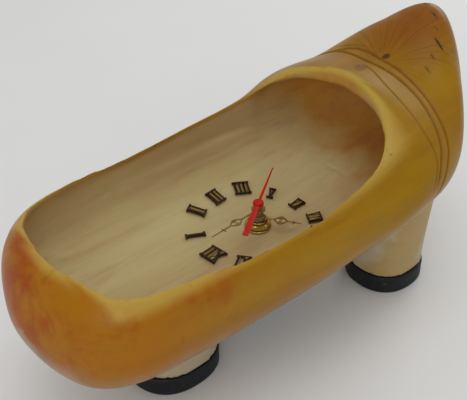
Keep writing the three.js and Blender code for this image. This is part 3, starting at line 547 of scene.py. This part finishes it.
# the movement's pocket, the bore for its bush and the spot face under the washer
SHAFT_X = -7.4
POCKET, POCKET_TOP, POCKET_CORNER = 57.6, 48.5, 4
BORE_RADIUS, SPOT_FACE_RADIUS = 4.3, 7
bore = lathe("bore", [(0, 0), (BORE_RADIUS, 0), (BORE_RADIUS, 70), (0, 70)], at=(SHAFT_X, 0))
drill(clog_wood, bore)
facing = [(0, INSOLE), (SPOT_FACE_RADIUS, INSOLE), (SPOT_FACE_RADIUS, 60), (0, 60)]
drill(clog_wood, lathe("spot", facing, 96, at=(SHAFT_X, 0)))
routed = bmesh.new()
bmesh.ops.create_cube(routed, size=1)
bmesh.ops.scale(routed, vec=(POCKET * MM, POCKET * MM, POCKET_TOP * MM), verts=routed.verts)
bmesh.ops.translate(routed, vec=(SHAFT_X * MM, 0, POCKET_TOP / 2 * MM), verts=routed.verts)
upright = [edge for edge in routed.edges if abs(edge.verts[0].co.z - edge.verts[1].co.z) > 0.01]
bmesh.ops.bevel(routed, geom=upright, offset=POCKET_CORNER * MM, segments=6, affect="EDGES")
drill(clog_wood, piece_of("pocket", routed))
clog_wood.data.shade_smooth()
clog_wood.data.set_sharp_from_angle(angle=math.radians(50))

# Where the varnish went, what the tool cut and the rim's painted highlight: masks that the wood's finish
# reads.
places = np.array([v.co for v in clog_wood.data.vertices]) / MM
outside = distance(lambda p: form_level(outer, p), places)
carved = opening_distance(places)
u = places[:, 0] + LENGTH / 2
side = (places[:, 2] - outer["bottom"](u)) / (outer["top"](u) - outer["bottom"](u))
# painted highlight: a band along the rim's top edge where the finish is lightened for the light it catches
on_rim = np.clip((side - 0.80) / 0.06, 0, 1) * (u < MOUTH_START + MOUTH_LENGTH + 7)
masks = {
    "bare_inside": np.clip((-outside - 1.2) / 1.6, 0, 1),
    "rim": on_rim * np.exp(-((outside / 3) ** 4 + (carved / 3.6) ** 4)),
    "side_height": side,
    "leg": np.clip((outside - 0.6) / 4, 0, 1),
    "groove": np.clip(cut_depth(places, 1.2, GROOVES) / 0.6, 0, 1) * np.clip(1 + outside / 2, 0, 1),
    "crack": np.clip(cut_depth(places, 1.4, CRACKS) / 0.3, 0, 1) * np.clip(1 + outside / 2, 0, 1),
}
for name, values in masks.items():
    layer = clog_wood.data.attributes.new(name, "FLOAT", "POINT")
    layer.data.foreach_set("value", values.astype(np.float32))

wood = Finish("amber_wood", Specular_IOR_Level=0.12, Coat_Roughness=0.3, Coat_IOR=1.3)
bare = wood.attribute("bare_inside")
side_height = wood.attribute("side_height")
leg_mask = wood.attribute("leg")
grain = wood.noise(55, 5, 0.3, 0.6, stretch=(0.16, 1, 1))
fine_grain = wood.noise(260, 4, 0.2, 0.6, stretch=(0.09, 1, 1))
blotches = wood.noise(34, 4, 0.5, 0.55, stretch=(0.8, 1, 1.2))
clouds = wood.noise(13, 3, 0.4, 0.5)
brushed = wood.noise(90, 4, 0.6, 0.65, stretch=(1, 0.5, 0.22))
spot = wood.node("TexCoord", out=3)
along = wood.node("SeparateXYZ", None, [spot])
across = wood.node("SeparateXYZ", None, [spot], out=1)
height = wood.node("SeparateXYZ", None, [spot], out=2)


def near_point(place, reach, soft):
    """1 within a distance of a point of the wood, fading to 0, with a ragged edge."""
    away = wood.node("VectorMath", {"operation": "DISTANCE"}, [spot, tuple(c * MM for c in place)], out=1)
    share = (away + (blotches - 0.5) * 0.02) / (reach * MM) * 0.5
    return wood.ramp(share, (0.5 - soft * 0.5, 1), (0.5 + soft * 0.5, 0))


# the stained and varnished outside: golden ochre, rubbed orange-brown round the heel, with a painted
# highlight along the rim
bands = wood.ramp(grain, (0.32, 0), (0.70, 1))
amber = wood.mix(bands, colour(0.285, 0.128, 0.000), colour(0.385, 0.200, 0.001))
amber = wood.mix(wood.ramp(clouds, (0.42, 0), (0.62, 0.7)), amber, colour(0.32, 0.19, 0.006))
heel_zone = wood.ramp(along * -5 + (clouds - 0.5) * 0.5, (0.22, 0), (0.50, 1))
amber = wood.mix(heel_zone * 0.8, amber, colour(0.40, 0.135, 0.0))
rubbed = wood.ramp(blotches + (brushed - 0.5) * 0.6, (0.46, 0), (0.62, 1)) * (heel_zone * 0.85 + 0.14)
amber = wood.mix(rubbed, amber, colour(0.34, 0.065, 0.0))
amber = wood.mix(near_point((97, 0, 126), 20, 0.6) * 0.75, amber, colour(0.24, 0.062, 0.001))
fan_angle = wood.node("Math", {"operation": "ARCTAN2"}, [across + 0.0006, along - 0.074])
fan = wood.node("TexNoise", {"noise_dimensions": "1D"}, {"W": fan_angle * 3.2, "Scale": 4, "Detail": 2})
fan_lines = wood.ramp(fan, (0.52, 0), (0.60, 0.65)) * near_point((88, 0, 119), 20, 0.7)
amber = wood.mix(fan_lines, amber, colour(0.19, 0.058, 0.002))
dark_knot, faint_knot = near_point((77.6, -0.6, 114.7), 1.6, 0.4), near_point((63, 3, 111.6), 1.6, 0.6)
knots = wood.node("Math", {"operation": "MAXIMUM"}, [dark_knot, faint_knot * 0.5])
amber = wood.mix(knots, amber, colour(0.10, 0.028, 0.003))
pale_below = wood.ramp(side_height + (grain - 0.5) * 0.3 + (clouds - 0.5) * 0.3, (0.10, 1), (0.42, 0))
strokes = wood.ramp(brushed, (0.35, 0), (0.7, 1))
tan = wood.mix(strokes, colour(0.30, 0.155, 0.055), colour(0.43, 0.27, 0.13))
varnished = wood.mix(pale_below, amber, tan)
# painted highlight: a lighter yellow band along the rim's top stands in for the light it catches
varnished = wood.mix(wood.attribute("rim") * 0.8, varnished, colour(0.53, 0.36, 0.065))
varnished = wood.mix(wood.attribute("groove") * 0.85, varnished, colour(0.17, 0.052, 0.002))
varnished = wood.mix(wood.attribute("crack"), varnished, colour(0.035, 0.016, 0.004))
# the bare wood of the hollow: cream, with pink-brown streaks on its walls and an ochre toe-box
cream = wood.mix(wood.ramp(grain, (0.3, 0), (0.7, 1)), colour(0.50, 0.39, 0.17), colour(0.60, 0.50, 0.26))
wall = wood.ramp(height * 10 + (clouds - 0.5) * 0.4, (0.56, 0), (0.78, 1))
cream = wood.mix(wall * 0.75, cream, colour(0.44, 0.28, 0.135))
streaks = wood.noise(42, 4, 0.8, 0.6, stretch=(0.14, 1, 1))
cream = wood.mix(wood.ramp(streaks, (0.50, 0), (0.66, 0.6)), cream, colour(0.42, 0.245, 0.13))
toe_box = wood.ramp(along * 8 + (height - 0.06) * 5 + (blotches - 0.5) * 0.9, (0.34, 0), (0.66, 0.9))
patches = wood.ramp(blotches, (0.42, 0), (0.62, 1))
ochre = wood.mix(patches, colour(0.62, 0.34, 0.045), colour(0.50, 0.22, 0.045))
cream = wood.mix(toe_box, cream, ochre)
leg_wood = wood.mix(wood.ramp(grain, (0.3, 0), (0.7, 1)), colour(0.42, 0.34, 0.22), colour(0.52, 0.44, 0.31))
leg_stains = wood.ramp(clouds + (blotches - 0.5) * 0.6, (0.52, 0), (0.62, 0.7))
leg_wood = wood.mix(leg_stains, leg_wood, colour(0.42, 0.27, 0.07))
surface = wood.mix(leg_mask, varnished, leg_wood)
surface = wood.mix(bare, surface, cream)
pores = wood.ramp(fine_grain, (0.55, 0), (0.75, 0.22))
surface = wood.mix(pores, surface, colour(0.45, 0.30, 0.16), "MULTIPLY")
wood.drive("Base Color", surface)
wood.drive("Coat Weight", (1 - bare) * (1 - leg_mask) * 0.22)
wood.drive("Roughness", 0.36 + bare * 0.2 + (grain - 0.5) * 0.14)
wood.bump(grain * 0.5 + fine_grain * 0.3 + brushed * 0.3 + clouds * 0.8, 0.14, 0.0012)
hand_in(clog_wood, wood, "clog", "varnished_wood", "clog_body")

# ---------------------------------------------------------------- rubber tips
# Each leg stands in an oval slice of black sole rubber, cut square, with lightly worn edges
# and a fine crumb texture. A countersunk screw in the middle holds it.
rubber = Finish("sole_rubber", Specular_IOR_Level=0.3)
crumb = rubber.noise(900, 3, 0, 0.7)
scuff = rubber.noise(70, 5, 0.5, 0.6, stretch=(1, 1, 2.5))
scuffed = rubber.ramp(scuff, (0.45, 0), (0.8, 1))
base = rubber.mix(scuffed, colour(0.006, 0.007, 0.010), colour(0.020, 0.022, 0.026))
specks = rubber.ramp(rubber.noise(420, 2), (0.68, 0), (0.74, 0.6))
rubber.drive("Base Color", rubber.mix(specks, base, colour(0.09, 0.10, 0.105)))
rubber.drive("Roughness", 0.42 + scuff * 0.3)
rubber.bump(crumb * 0.6 + scuff, 0.35, 0.0004)

TIP_SIDES = 96
# the tip's side, from the ground up: [height, how far it stands out from the oval]
TIP_RINGS = [(0, -1.0), (0.3, -0.35), (0.9, -0.05), (2.2, 0.0), (5.0, -0.12), (8.2, 0.0), (9.3, -0.1),
             (9.8, -0.45), (10, -1.1)]
# the screw's hole, from the top down: [radius, height]
TIP_HOLE = [(2.0, 10), (2.0, 5.7), (3.7, 5.7), (3.7, 0.3), (4.0, 0)]


def oval(leg, grow, height):
    """A ring of points of a squarish oval around a leg, in metres."""
    x, y, along, across = leg
    ring = []
    for i in range(TIP_SIDES):
        a = 2 * math.pi * i / TIP_SIDES
        c, s = math.cos(a), math.sin(a)
        forward = (along + grow) * math.copysign(abs(c) ** (2 / LEG_SQUARENESS), c)
        sideways = (across + grow) * math.copysign(abs(s) ** (2 / LEG_SQUARENESS), s)
        ring.append(((x + forward) * MM, (y + sideways) * MM, height * MM))
    return ring


for leg_name, leg in LEGS.items():
    made = bmesh.new()
    hole_rings = [circle(made, leg, radius, height, TIP_SIDES) for radius, height in TIP_HOLE]
    side_rings = [[made.verts.new(point) for point in oval(leg, grow, height)] for height, grow in TIP_RINGS]
    join_rings(made, hole_rings + side_rings, TIP_SIDES)
    bmesh.ops.recalc_face_normals(made, faces=made.faces)
    sole = piece_of(f"rubber_sole_{leg_name}", made)
    hand_in(sole, rubber, "clog", "black_rubber", f"rubber_tip_{leg_name}")

# ---------------------------------------------------------------- numerals
# Pressed gilt letters glued to the insole, with painted reflection and shade: their tops and outer sides are
# painted near black for the dark surround they reflect and the shade on them, and only the walls between the
# strokes keep the gilt. Each is cut from its own plate, so the serifs join the strokes.
# painted reflection and shade: near black stands in for the dark surround that the gilt letters reflect on
# their tops and for the shade on their outer sides
painted_shade_and_reflection = Finish("numeral_lacquer", Specular_IOR_Level=0.3)
wear = painted_shade_and_reflection.noise(700, 3)
worn = painted_shade_and_reflection.ramp(wear, (0.35, 0), (0.75, 1))
painted_shade_and_reflection.drive("Base Color", painted_shade_and_reflection.mix(worn, colour(0.010, 0.004, 0.003), colour(0.050, 0.008, 0.005)))
painted_shade_and_reflection.drive("Roughness", 0.28 + wear * 0.2)
gilt = Finish("numeral_gilt", Metallic=0.3)
rubbed = gilt.noise(900, 3)
gilt.drive("Base Color", gilt.mix(rubbed, colour(0.62, 0.44, 0.09), colour(0.80, 0.62, 0.20)))
gilt.drive("Roughness", 0.3 + rubbed * 0.25)
SOFT_EDGE = 0.09 * MM

for hour in range(1, 13):
    node = f"numeral_{hour:02d}"
    made = bmesh.new()
    made.from_mesh(bpy.data.objects[node].data)
    bmesh.ops.remove_doubles(made, verts=made.verts, dist=0.001 * MM)
    top = max(made.faces, key=lambda face: face.normal.z * face.calc_area())
    up = top.normal.copy()
    faces = [face for face in made.faces if face.normal.dot(up) > 0.98]
    edge_points = {vert for face in faces for vert in face.verts}
    bmesh.ops.inset_region(made, faces=faces, thickness=SOFT_EDGE, depth=0)
    for vert in edge_points:
        if any(face.normal.dot(up) < 0.5 for face in vert.link_faces):
            vert.co -= up * SOFT_EDGE
    made.normal_update()
    tree = BVHTree.FromBMesh(made)
    # walls from which a short ray meets another stroke keep the gilt, and every other face takes the painted
    # reflection and shade
    for face in made.faces:
        start = face.calc_center_median() + face.normal * 0.02 * MM
        between = abs(face.normal.dot(up)) < 0.5 and tree.ray_cast(start, face.normal, 2.5 * MM)[0]
        face.material_index = 1 if between else 0
    letter = piece_of(f"letter_{hour:02d}", made, 30)
    hand_in(letter, painted_shade_and_reflection, "clog", "numeral_lacquer", node)
    letter.data.materials.append(gilt.material)

# ---------------------------------------------------------------- brass fixing
# A turned washer and an M8 nut clamp the insole between them and the movement below. The
# brass bush stands through both, threaded, with its mouth chamfered.
brass = Finish("brass", Metallic=1.0)
spin_marks = brass.noise(500, 3, stretch=(1, 1, 6))
tarnish = brass.noise(160, 4, 0.4)
dulled = brass.ramp(tarnish, (0.35, 0), (0.75, 1))
brass.drive("Base Color", brass.mix(dulled, colour(0.66, 0.47, 0.14), colour(0.46, 0.31, 0.09)))
brass.drive("Roughness", 0.2 + tarnish * 0.25)
brass.bump(spin_marks, 0.2, 0.0001)
SHAFT = (SHAFT_X, 0)
WASHER_SECTION = [(4.3, 51.95), (4.5, 51.8), (6.2, 51.8), (6.4, 51.95), (6.4, 52.6), (6.2, 52.8), (4.6, 52.8),
                  (4.3, 52.55)]
washer = lathe("turned_washer", WASHER_SECTION, 96, SHAFT, True)
hand_in(washer, brass, "clog", "brass", "brass_washer")
NUT_LOW, NUT_HIGH, NUT_FLATS, NUT_SIDES = 53.1, 55.7, 11, 96
NUT_SECTION = [(4.2, NUT_LOW), (5.6, NUT_LOW), (6.35, NUT_LOW + 0.35), (6.35, NUT_HIGH - 0.4),
               (5.5, NUT_HIGH), (4.7, NUT_HIGH), (4.2, NUT_HIGH - 0.4)]
made = bmesh.new()
rings = []
for radius, height in NUT_SECTION:
    ring = []
    for i in range(NUT_SIDES):
        a = 2 * math.pi * i / NUT_SIDES
        flat = NUT_FLATS / 2 / math.cos((a + math.pi / 6) % (math.pi / 3) - math.pi / 6)
        r = min(radius, flat)
        ring.append(made.verts.new(((SHAFT_X + r * math.cos(a)) * MM, r * math.sin(a) * MM, height * MM)))
    rings.append(ring)
join_rings(made, rings, NUT_SIDES)
bmesh.ops.recalc_face_normals(made, faces=made.faces)
hand_in(piece_of("hex_nut", made, 28), brass, "clog", "brass", "brass_nut")
THREAD_RADIUS, THREAD_ROOT, THREAD_PITCH, THREAD_START, THREAD_END = 3.98, 3.75, 0.75, 46.4, 55.6
thread = [(2.65, 44.9), (5.2, 44.9), (5.2, 45.6), (3.98, 45.6)]
height = THREAD_START
while height < THREAD_END:
    thread += [(THREAD_RADIUS, height), (THREAD_ROOT, height + 0.12), (THREAD_ROOT, height + 0.24),
               (THREAD_RADIUS, height + 0.36)]
    height += THREAD_PITCH
thread += [(3.98, 55.8), (3.7, 56.1), (2.95, 56.1), (2.65, 55.8)]
hand_in(lathe("threaded_sleeve", thread, 64, SHAFT, True), brass, "clog", "brass", "threaded_bush")

# ---------------------------------------------------------------- hands
# Pressed brass hands in the serpentine pattern, gilt: a thin stem, two open scrolls, a small
# cross and a drawn-out tip. The second hand is plain painted steel, its tail a broad bar.
hand_gilt = Finish("gilt_hand", Metallic=1.0)
shade = hand_gilt.noise(240, 3, 0.3)
hand_gilt.drive("Base Color", hand_gilt.mix(shade, colour(0.24, 0.14, 0.045), colour(0.46, 0.30, 0.10)))
hand_gilt.drive("Roughness", 0.24 + shade * 0.2)


def strip(made, path, half_widths, z, thickness):
    """A pressed strip along a flat path: soft-edged, drawn in millimetres, added to a bmesh."""
    section = [(-1, 0.3), (-0.7, 0), (0.7, 0), (1, 0.3), (1, 0.7), (0.7, 1), (-0.7, 1), (-1, 0.7)]
    path = [Vector(p) for p in path]
    rings = []
    for i, point in enumerate(path):
        run = (path[min(i + 1, len(path) - 1)] - path[max(i - 1, 0)]).normalized()
        side = Vector((-run.y, run.x))
        rings.append([made.verts.new(((point.x + side.x * s * half_widths[i]) * MM,
                                      (point.y + side.y * s * half_widths[i]) * MM, (z + h * thickness) * MM))
                      for s, h in section])
    for low, high in zip(rings, rings[1:]):
        for i in range(8):
            made.faces.new((low[i], low[(i + 1) % 8], high[(i + 1) % 8], high[i]))
    made.faces.new(rings[0][::-1])
    made.faces.new(rings[-1])


def scroll(start, end, wide, side, curl, steps=28):
    """Half of an open scroll: out from the stem, round and back to it with a small curl."""
    path = []
    for i in range(steps + 1):
        t = i / steps
        bow = math.sin(math.pi * t) ** 0.75
        path.append((start + (end - start) * (t + curl * math.sin(2 * math.pi * t)), side * wide * bow))
    return path


def ring_of(made, outer_radius, inner_radius, low, high, sides=48):
    """A flat ring about the origin with softened edges, added to a bmesh."""
    soft = 0.12
    section = ((inner_radius, low + soft), (inner_radius + soft, low), (outer_radius - soft, low),
               (outer_radius, low + soft), (outer_radius, high - soft), (outer_radius - soft, high),
               (inner_radius + soft, high), (inner_radius, high - soft))
    join_rings(made, [circle(made, (0, 0), radius, height, sides) for radius, height in section], sides)


# how far the whole dial and its hands are turned clockwise from the clog's own axis
DIAL_TURN = -3.4


def hand(name, node, body, degrees, hub, tube_radius, z, length, loops, wide, cross_at, collar):
    """A serpentine hand, turned clockwise from twelve, with the collar it is pressed on by."""
    made = bmesh.new()
    thick = 0.45
    ring_of(made, hub, tube_radius + 0.12, z, z + 0.8)
    ring_of(made, tube_radius + 0.75, tube_radius + 0.12, z - collar, z + 0.9)
    loop_start, loop_end = loops
    stem = [(hub - 0.3 + (loop_start + 0.4 - hub) * i / 10, 0) for i in range(11)]
    stem_widths = [0.55 - 0.18 * math.sin(math.pi * i / 10) for i in range(11)]
    strip(made, stem, stem_widths, z, thick)
    for side in (-1, 1):
        path = scroll(loop_start, loop_end, wide, side, 0.07)
        strip(made, path, [0.3 + 0.12 * math.sin(math.pi * i / 28) for i in range(29)], z, thick)
        curl_centre = loop_start + (loop_end - loop_start) * 0.52
        path = [(curl_centre + 0.30 * wide * (1 - t / 26) * math.cos(t / 3.2) * 1.6,
                 side * (wide * 0.42 + 0.34 * wide * (1 - t / 30) * math.sin(t / 3.2))) for t in range(21)]
        strip(made, path, [0.24] * 21, z, thick * 0.9)
    tip = [(loop_end - 0.3 + (length - loop_end + 0.3) * i / 12, 0) for i in range(13)]
    strip(made, tip, [0.42 - 0.30 * i / 12 for i in range(13)], z, thick)
    cross = [(cross_at + 0.5 - abs(i - 4) * 0.16, (i - 4) * 0.36) for i in range(9)]
    strip(made, cross, [0.22 + 0.12 * math.sin(math.pi * i / 8) for i in range(9)], z, thick)
    bmesh.ops.recalc_face_normals(made, faces=made.faces)
    place_hand(made, degrees)
    hand_in(piece_of(name, made, 40), hand_gilt, body, "gilt_brass", node)


def place_hand(made, degrees):
    """Turns a hand that was drawn pointing to the toe, and puts it on the shaft."""
    turned = Matrix.Rotation(math.pi - math.radians(degrees + DIAL_TURN), 4, "Z")
    made.transform(Matrix.Translation((SHAFT_X * MM, 0, 0)) @ turned)


hand("hour_serpentine", "hour_hand", "hour_motion", degrees=240, hub=3.7, tube_radius=2.45, z=57.1,
     length=21, loops=(8, 14.2), wide=2.9, cross_at=17.2, collar=0.4)
hand("minute_serpentine", "minute_hand", "minute_motion", degrees=0, hub=3.4, tube_radius=1.65, z=61.7,
     length=30.5, loops=(11.5, 18.5), wide=2.2, cross_at=23, collar=3.2)

red = Finish("red_paint", Specular_IOR_Level=0.2)
dust = red.noise(300, 3)
dusty = red.ramp(dust, (0.35, 0), (0.8, 1))
red.drive("Base Color", red.mix(dusty, colour(0.58, 0.010, 0.003), colour(0.42, 0.006, 0.002)))
red.drive("Roughness", 0.3 + dust * 0.2)
made = bmesh.new()
SECOND_Z, SECOND_THICK, SECOND_DEGREES = 65.3, 0.45, 150
SECOND_TIP, SECOND_TAIL, SECOND_ROOT = 31.5, 26, 1.5
needle = [(SECOND_ROOT + (SECOND_TIP - SECOND_ROOT) * i / 12, 0) for i in range(13)]
strip(made, needle, [0.75 - 0.45 * i / 12 for i in range(13)], SECOND_Z, SECOND_THICK)
tail = [(-SECOND_ROOT, 0), (-4, 0), (0.3 - SECOND_TAIL, 0), (-SECOND_TAIL, 0)]
strip(made, tail, [1.1, 1.25, 1.45, 1.3], SECOND_Z, SECOND_THICK)
place_hand(made, SECOND_DEGREES)
cap = [(0, 65.9), (0.6, 65.9), (0.6, 64.7), (2.3, 64.7), (2.6, 65.0), (2.6, 65.9), (2.45, 66.25), (2.0, 66.5),
       (1.2, 66.65), (0, 66.7)]
hub_piece = lathe("cap", cap, 48, SHAFT)
made.from_mesh(hub_piece.data)
bpy.data.objects.remove(hub_piece)
bmesh.ops.recalc_face_normals(made, faces=made.faces)
hand_in(piece_of("second_needle", made, 40), red, "second_arbor", "red_paint", "second_hand")

# ---------------------------------------------------------------- tip screws
# Countersunk steel wood screws, one in the bottom of each rubber sole: a cross recess in the
# head, and a coarse thread that runs up into the leg.
steel = Finish("screw_steel", Metallic=1.0)
smear = steel.noise(600, 3, 0.3)
steel.drive("Base Color", steel.mix(smear, colour(0.34, 0.34, 0.33), colour(0.52, 0.51, 0.49)))
steel.drive("Roughness", 0.25 + smear * 0.25)
for leg_name, (x, y, _, _) in LEGS.items():
    shape = [(0, 3.2), (2.8, 3.2), (3.4, 3.5), (3.3, 3.9), (1.75, 5.4)]
    height = 7.0
    while height < 23.4:
        shape += [(1.35, height), (1.7, height + 0.5), (1.7, height + 0.7)]
        height += 1.5
    shape += [(1.2, 23.9), (0, 25.2)]
    screw = lathe(f"wood_screw_{leg_name}", shape, 40, (x, y))
    for turned in (0, math.pi / 2):
        slot_cut = bmesh.new()
        bmesh.ops.create_cube(slot_cut, size=1)
        slot_cut.transform(Matrix.Translation((x * MM, y * MM, 3.6 * MM))
                           @ Matrix.Rotation(turned + 0.4, 4, "Z")
                           @ Matrix.Diagonal((3.6 * MM, 0.75 * MM, 2.2 * MM, 1)))
        drill(screw, piece_of("slot_cut", slot_cut))
    screw.data.set_sharp_from_angle(angle=math.radians(35))
    hand_in(screw, steel, "clog", "screw_steel", f"tip_screw_{leg_name}")

# ---------------------------------------------------------------- movement case
# The quartz movement's moulded case, its back cover and the rubber gasket between it and the
# wood. Matt black plastic, spark-eroded, with a faint flow pattern.


def moulded(name, dark, light, shine, grain_size=1400):
    """Injection-moulded plastic: an even colour with mould texture and slight flow marks."""
    plastic = Finish(name, Specular_IOR_Level=0.45)
    texture = plastic.noise(grain_size, 3)
    flow = plastic.noise(45, 3, 1.2)
    plastic.drive("Base Color", plastic.mix(plastic.ramp(flow, (0.3, 0), (0.8, 1)), dark, light))
    plastic.drive("Roughness", shine + texture * 0.18)
    plastic.bump(texture, 0.25, 0.0002)
    return plastic


def refinish(finish, *nodes):
    """Gives CAD nodes that keep their own shape their finish."""
    for node in nodes:
        for slot in bpy.data.objects[node].material_slots:
            slot.material = finish.material


case_black = moulded("case_plastic", colour(0.012, 0.012, 0.013), colour(0.030, 0.030, 0.032), 0.42)
refinish(case_black, "movement_front_case", "movement_back_cover")
refinish(rubber, "movement_gasket")
refinish(moulded("plate_plastic", colour(0.10, 0.10, 0.10), colour(0.16, 0.16, 0.155), 0.4), "train_plate")

# ---------------------------------------------------------------- motor and board
# The green circuit board with its chip and crystal can, the laminated stator, and the coil
# of fine enamelled copper on its bobbin.
board = Finish("board_laminate", Coat_Weight=0.3)
weave = board.node("TexChecker", None, {"Vector": board.place(), "Scale": 2600})
mask = board.noise(60, 3)
tint = board.ramp(mask, (0.4, 0), (0.7, 1))
board.drive("Base Color", board.mix(tint, colour(0.015, 0.10, 0.035), colour(0.03, 0.16, 0.06)))
board.drive("Roughness", 0.3 + mask * 0.2)
board.bump(weave, 0.1, 0.0001)
refinish(board, "circuit_board")
refinish(moulded("chip_resin", colour(0.008, 0.008, 0.009), colour(0.02, 0.02, 0.022), 0.5), "chip")
refinish(steel, "quartz_crystal")
iron = Finish("stator_iron", Metallic=0.9)
sheets = iron.noise(300, 3, stretch=(1, 1, 8))
iron.drive("Base Color", iron.mix(sheets, colour(0.20, 0.19, 0.18), colour(0.34, 0.33, 0.31)))
iron.drive("Roughness", 0.35 + sheets * 0.3)
refinish(iron, "stator")
copper = Finish("copper_wire", Metallic=1.0, Coat_Weight=0.5)
wave = {"Vector": copper.place(), "Scale": 1500, "Distortion": 0.4}
turns = copper.node("TexWave", {"bands_direction": "X"}, wave)
copper.drive("Base Color", copper.mix(turns, colour(0.30, 0.07, 0.02), colour(0.62, 0.24, 0.10)))
copper.drive("Roughness", 0.25 + turns * 0.2)
copper.bump(turns, 0.5, 0.0002)
refinish(copper, "coil_winding")

# ---------------------------------------------------------------- cell and contacts
# One AA cell clipped in the case from below: a plain two-colour jacket with bare steel ends.
refinish(brass, "battery_contact_negative", "battery_contact_positive")
ends = [vertex.co.x for vertex in bpy.data.objects["battery"].data.vertices]
cell = Finish("battery_jacket")
along = (cell.node("SeparateXYZ", None, [cell.place()]) - min(ends)) / (max(ends) - min(ends))
jacket = cell.ramp(along, (0.03, 0), (0.035, 1)) * cell.ramp(along, (0.955, 1), (0.96, 0))
print_grain = cell.noise(500, 3)
band = cell.ramp(along, (0.68, 0), (0.685, 1))
cover = cell.mix(band, cell.mix(print_grain, colour(0.02, 0.02, 0.022), colour(0.032, 0.032, 0.034)),
                 cell.mix(print_grain, colour(0.50, 0.27, 0.10), colour(0.60, 0.34, 0.14)))
bare = cell.mix(print_grain, colour(0.42, 0.42, 0.43), colour(0.56, 0.56, 0.57))
cell.drive("Base Color", cell.mix(jacket, bare, cover))
cell.drive("Metallic", 0.9 - jacket * 0.9)
cell.drive("Roughness", 0.26 + print_grain * 0.1)
cell.bump(print_grain, 0.1, 0.0001)
refinish(cell, "battery")

# ---------------------------------------------------------------- gear train
# The acetal wheels and the bobbin are natural white, the minute tube is turned brass and the
# setting knob is dark grey.
acetal = moulded("gear_plastic", colour(0.60, 0.58, 0.52), colour(0.72, 0.70, 0.64), 0.3)
refinish(acetal, "coil_bobbin", "rotor", "intermediate_wheel", "second_wheel", "third_wheel", "centre_wheel",
         "minute_wheel", "hour_wheel")
refinish(brass, "minute_tube")
refinish(moulded("knob_plastic", colour(0.03, 0.03, 0.032), colour(0.06, 0.06, 0.062), 0.38), "time_set_knob")
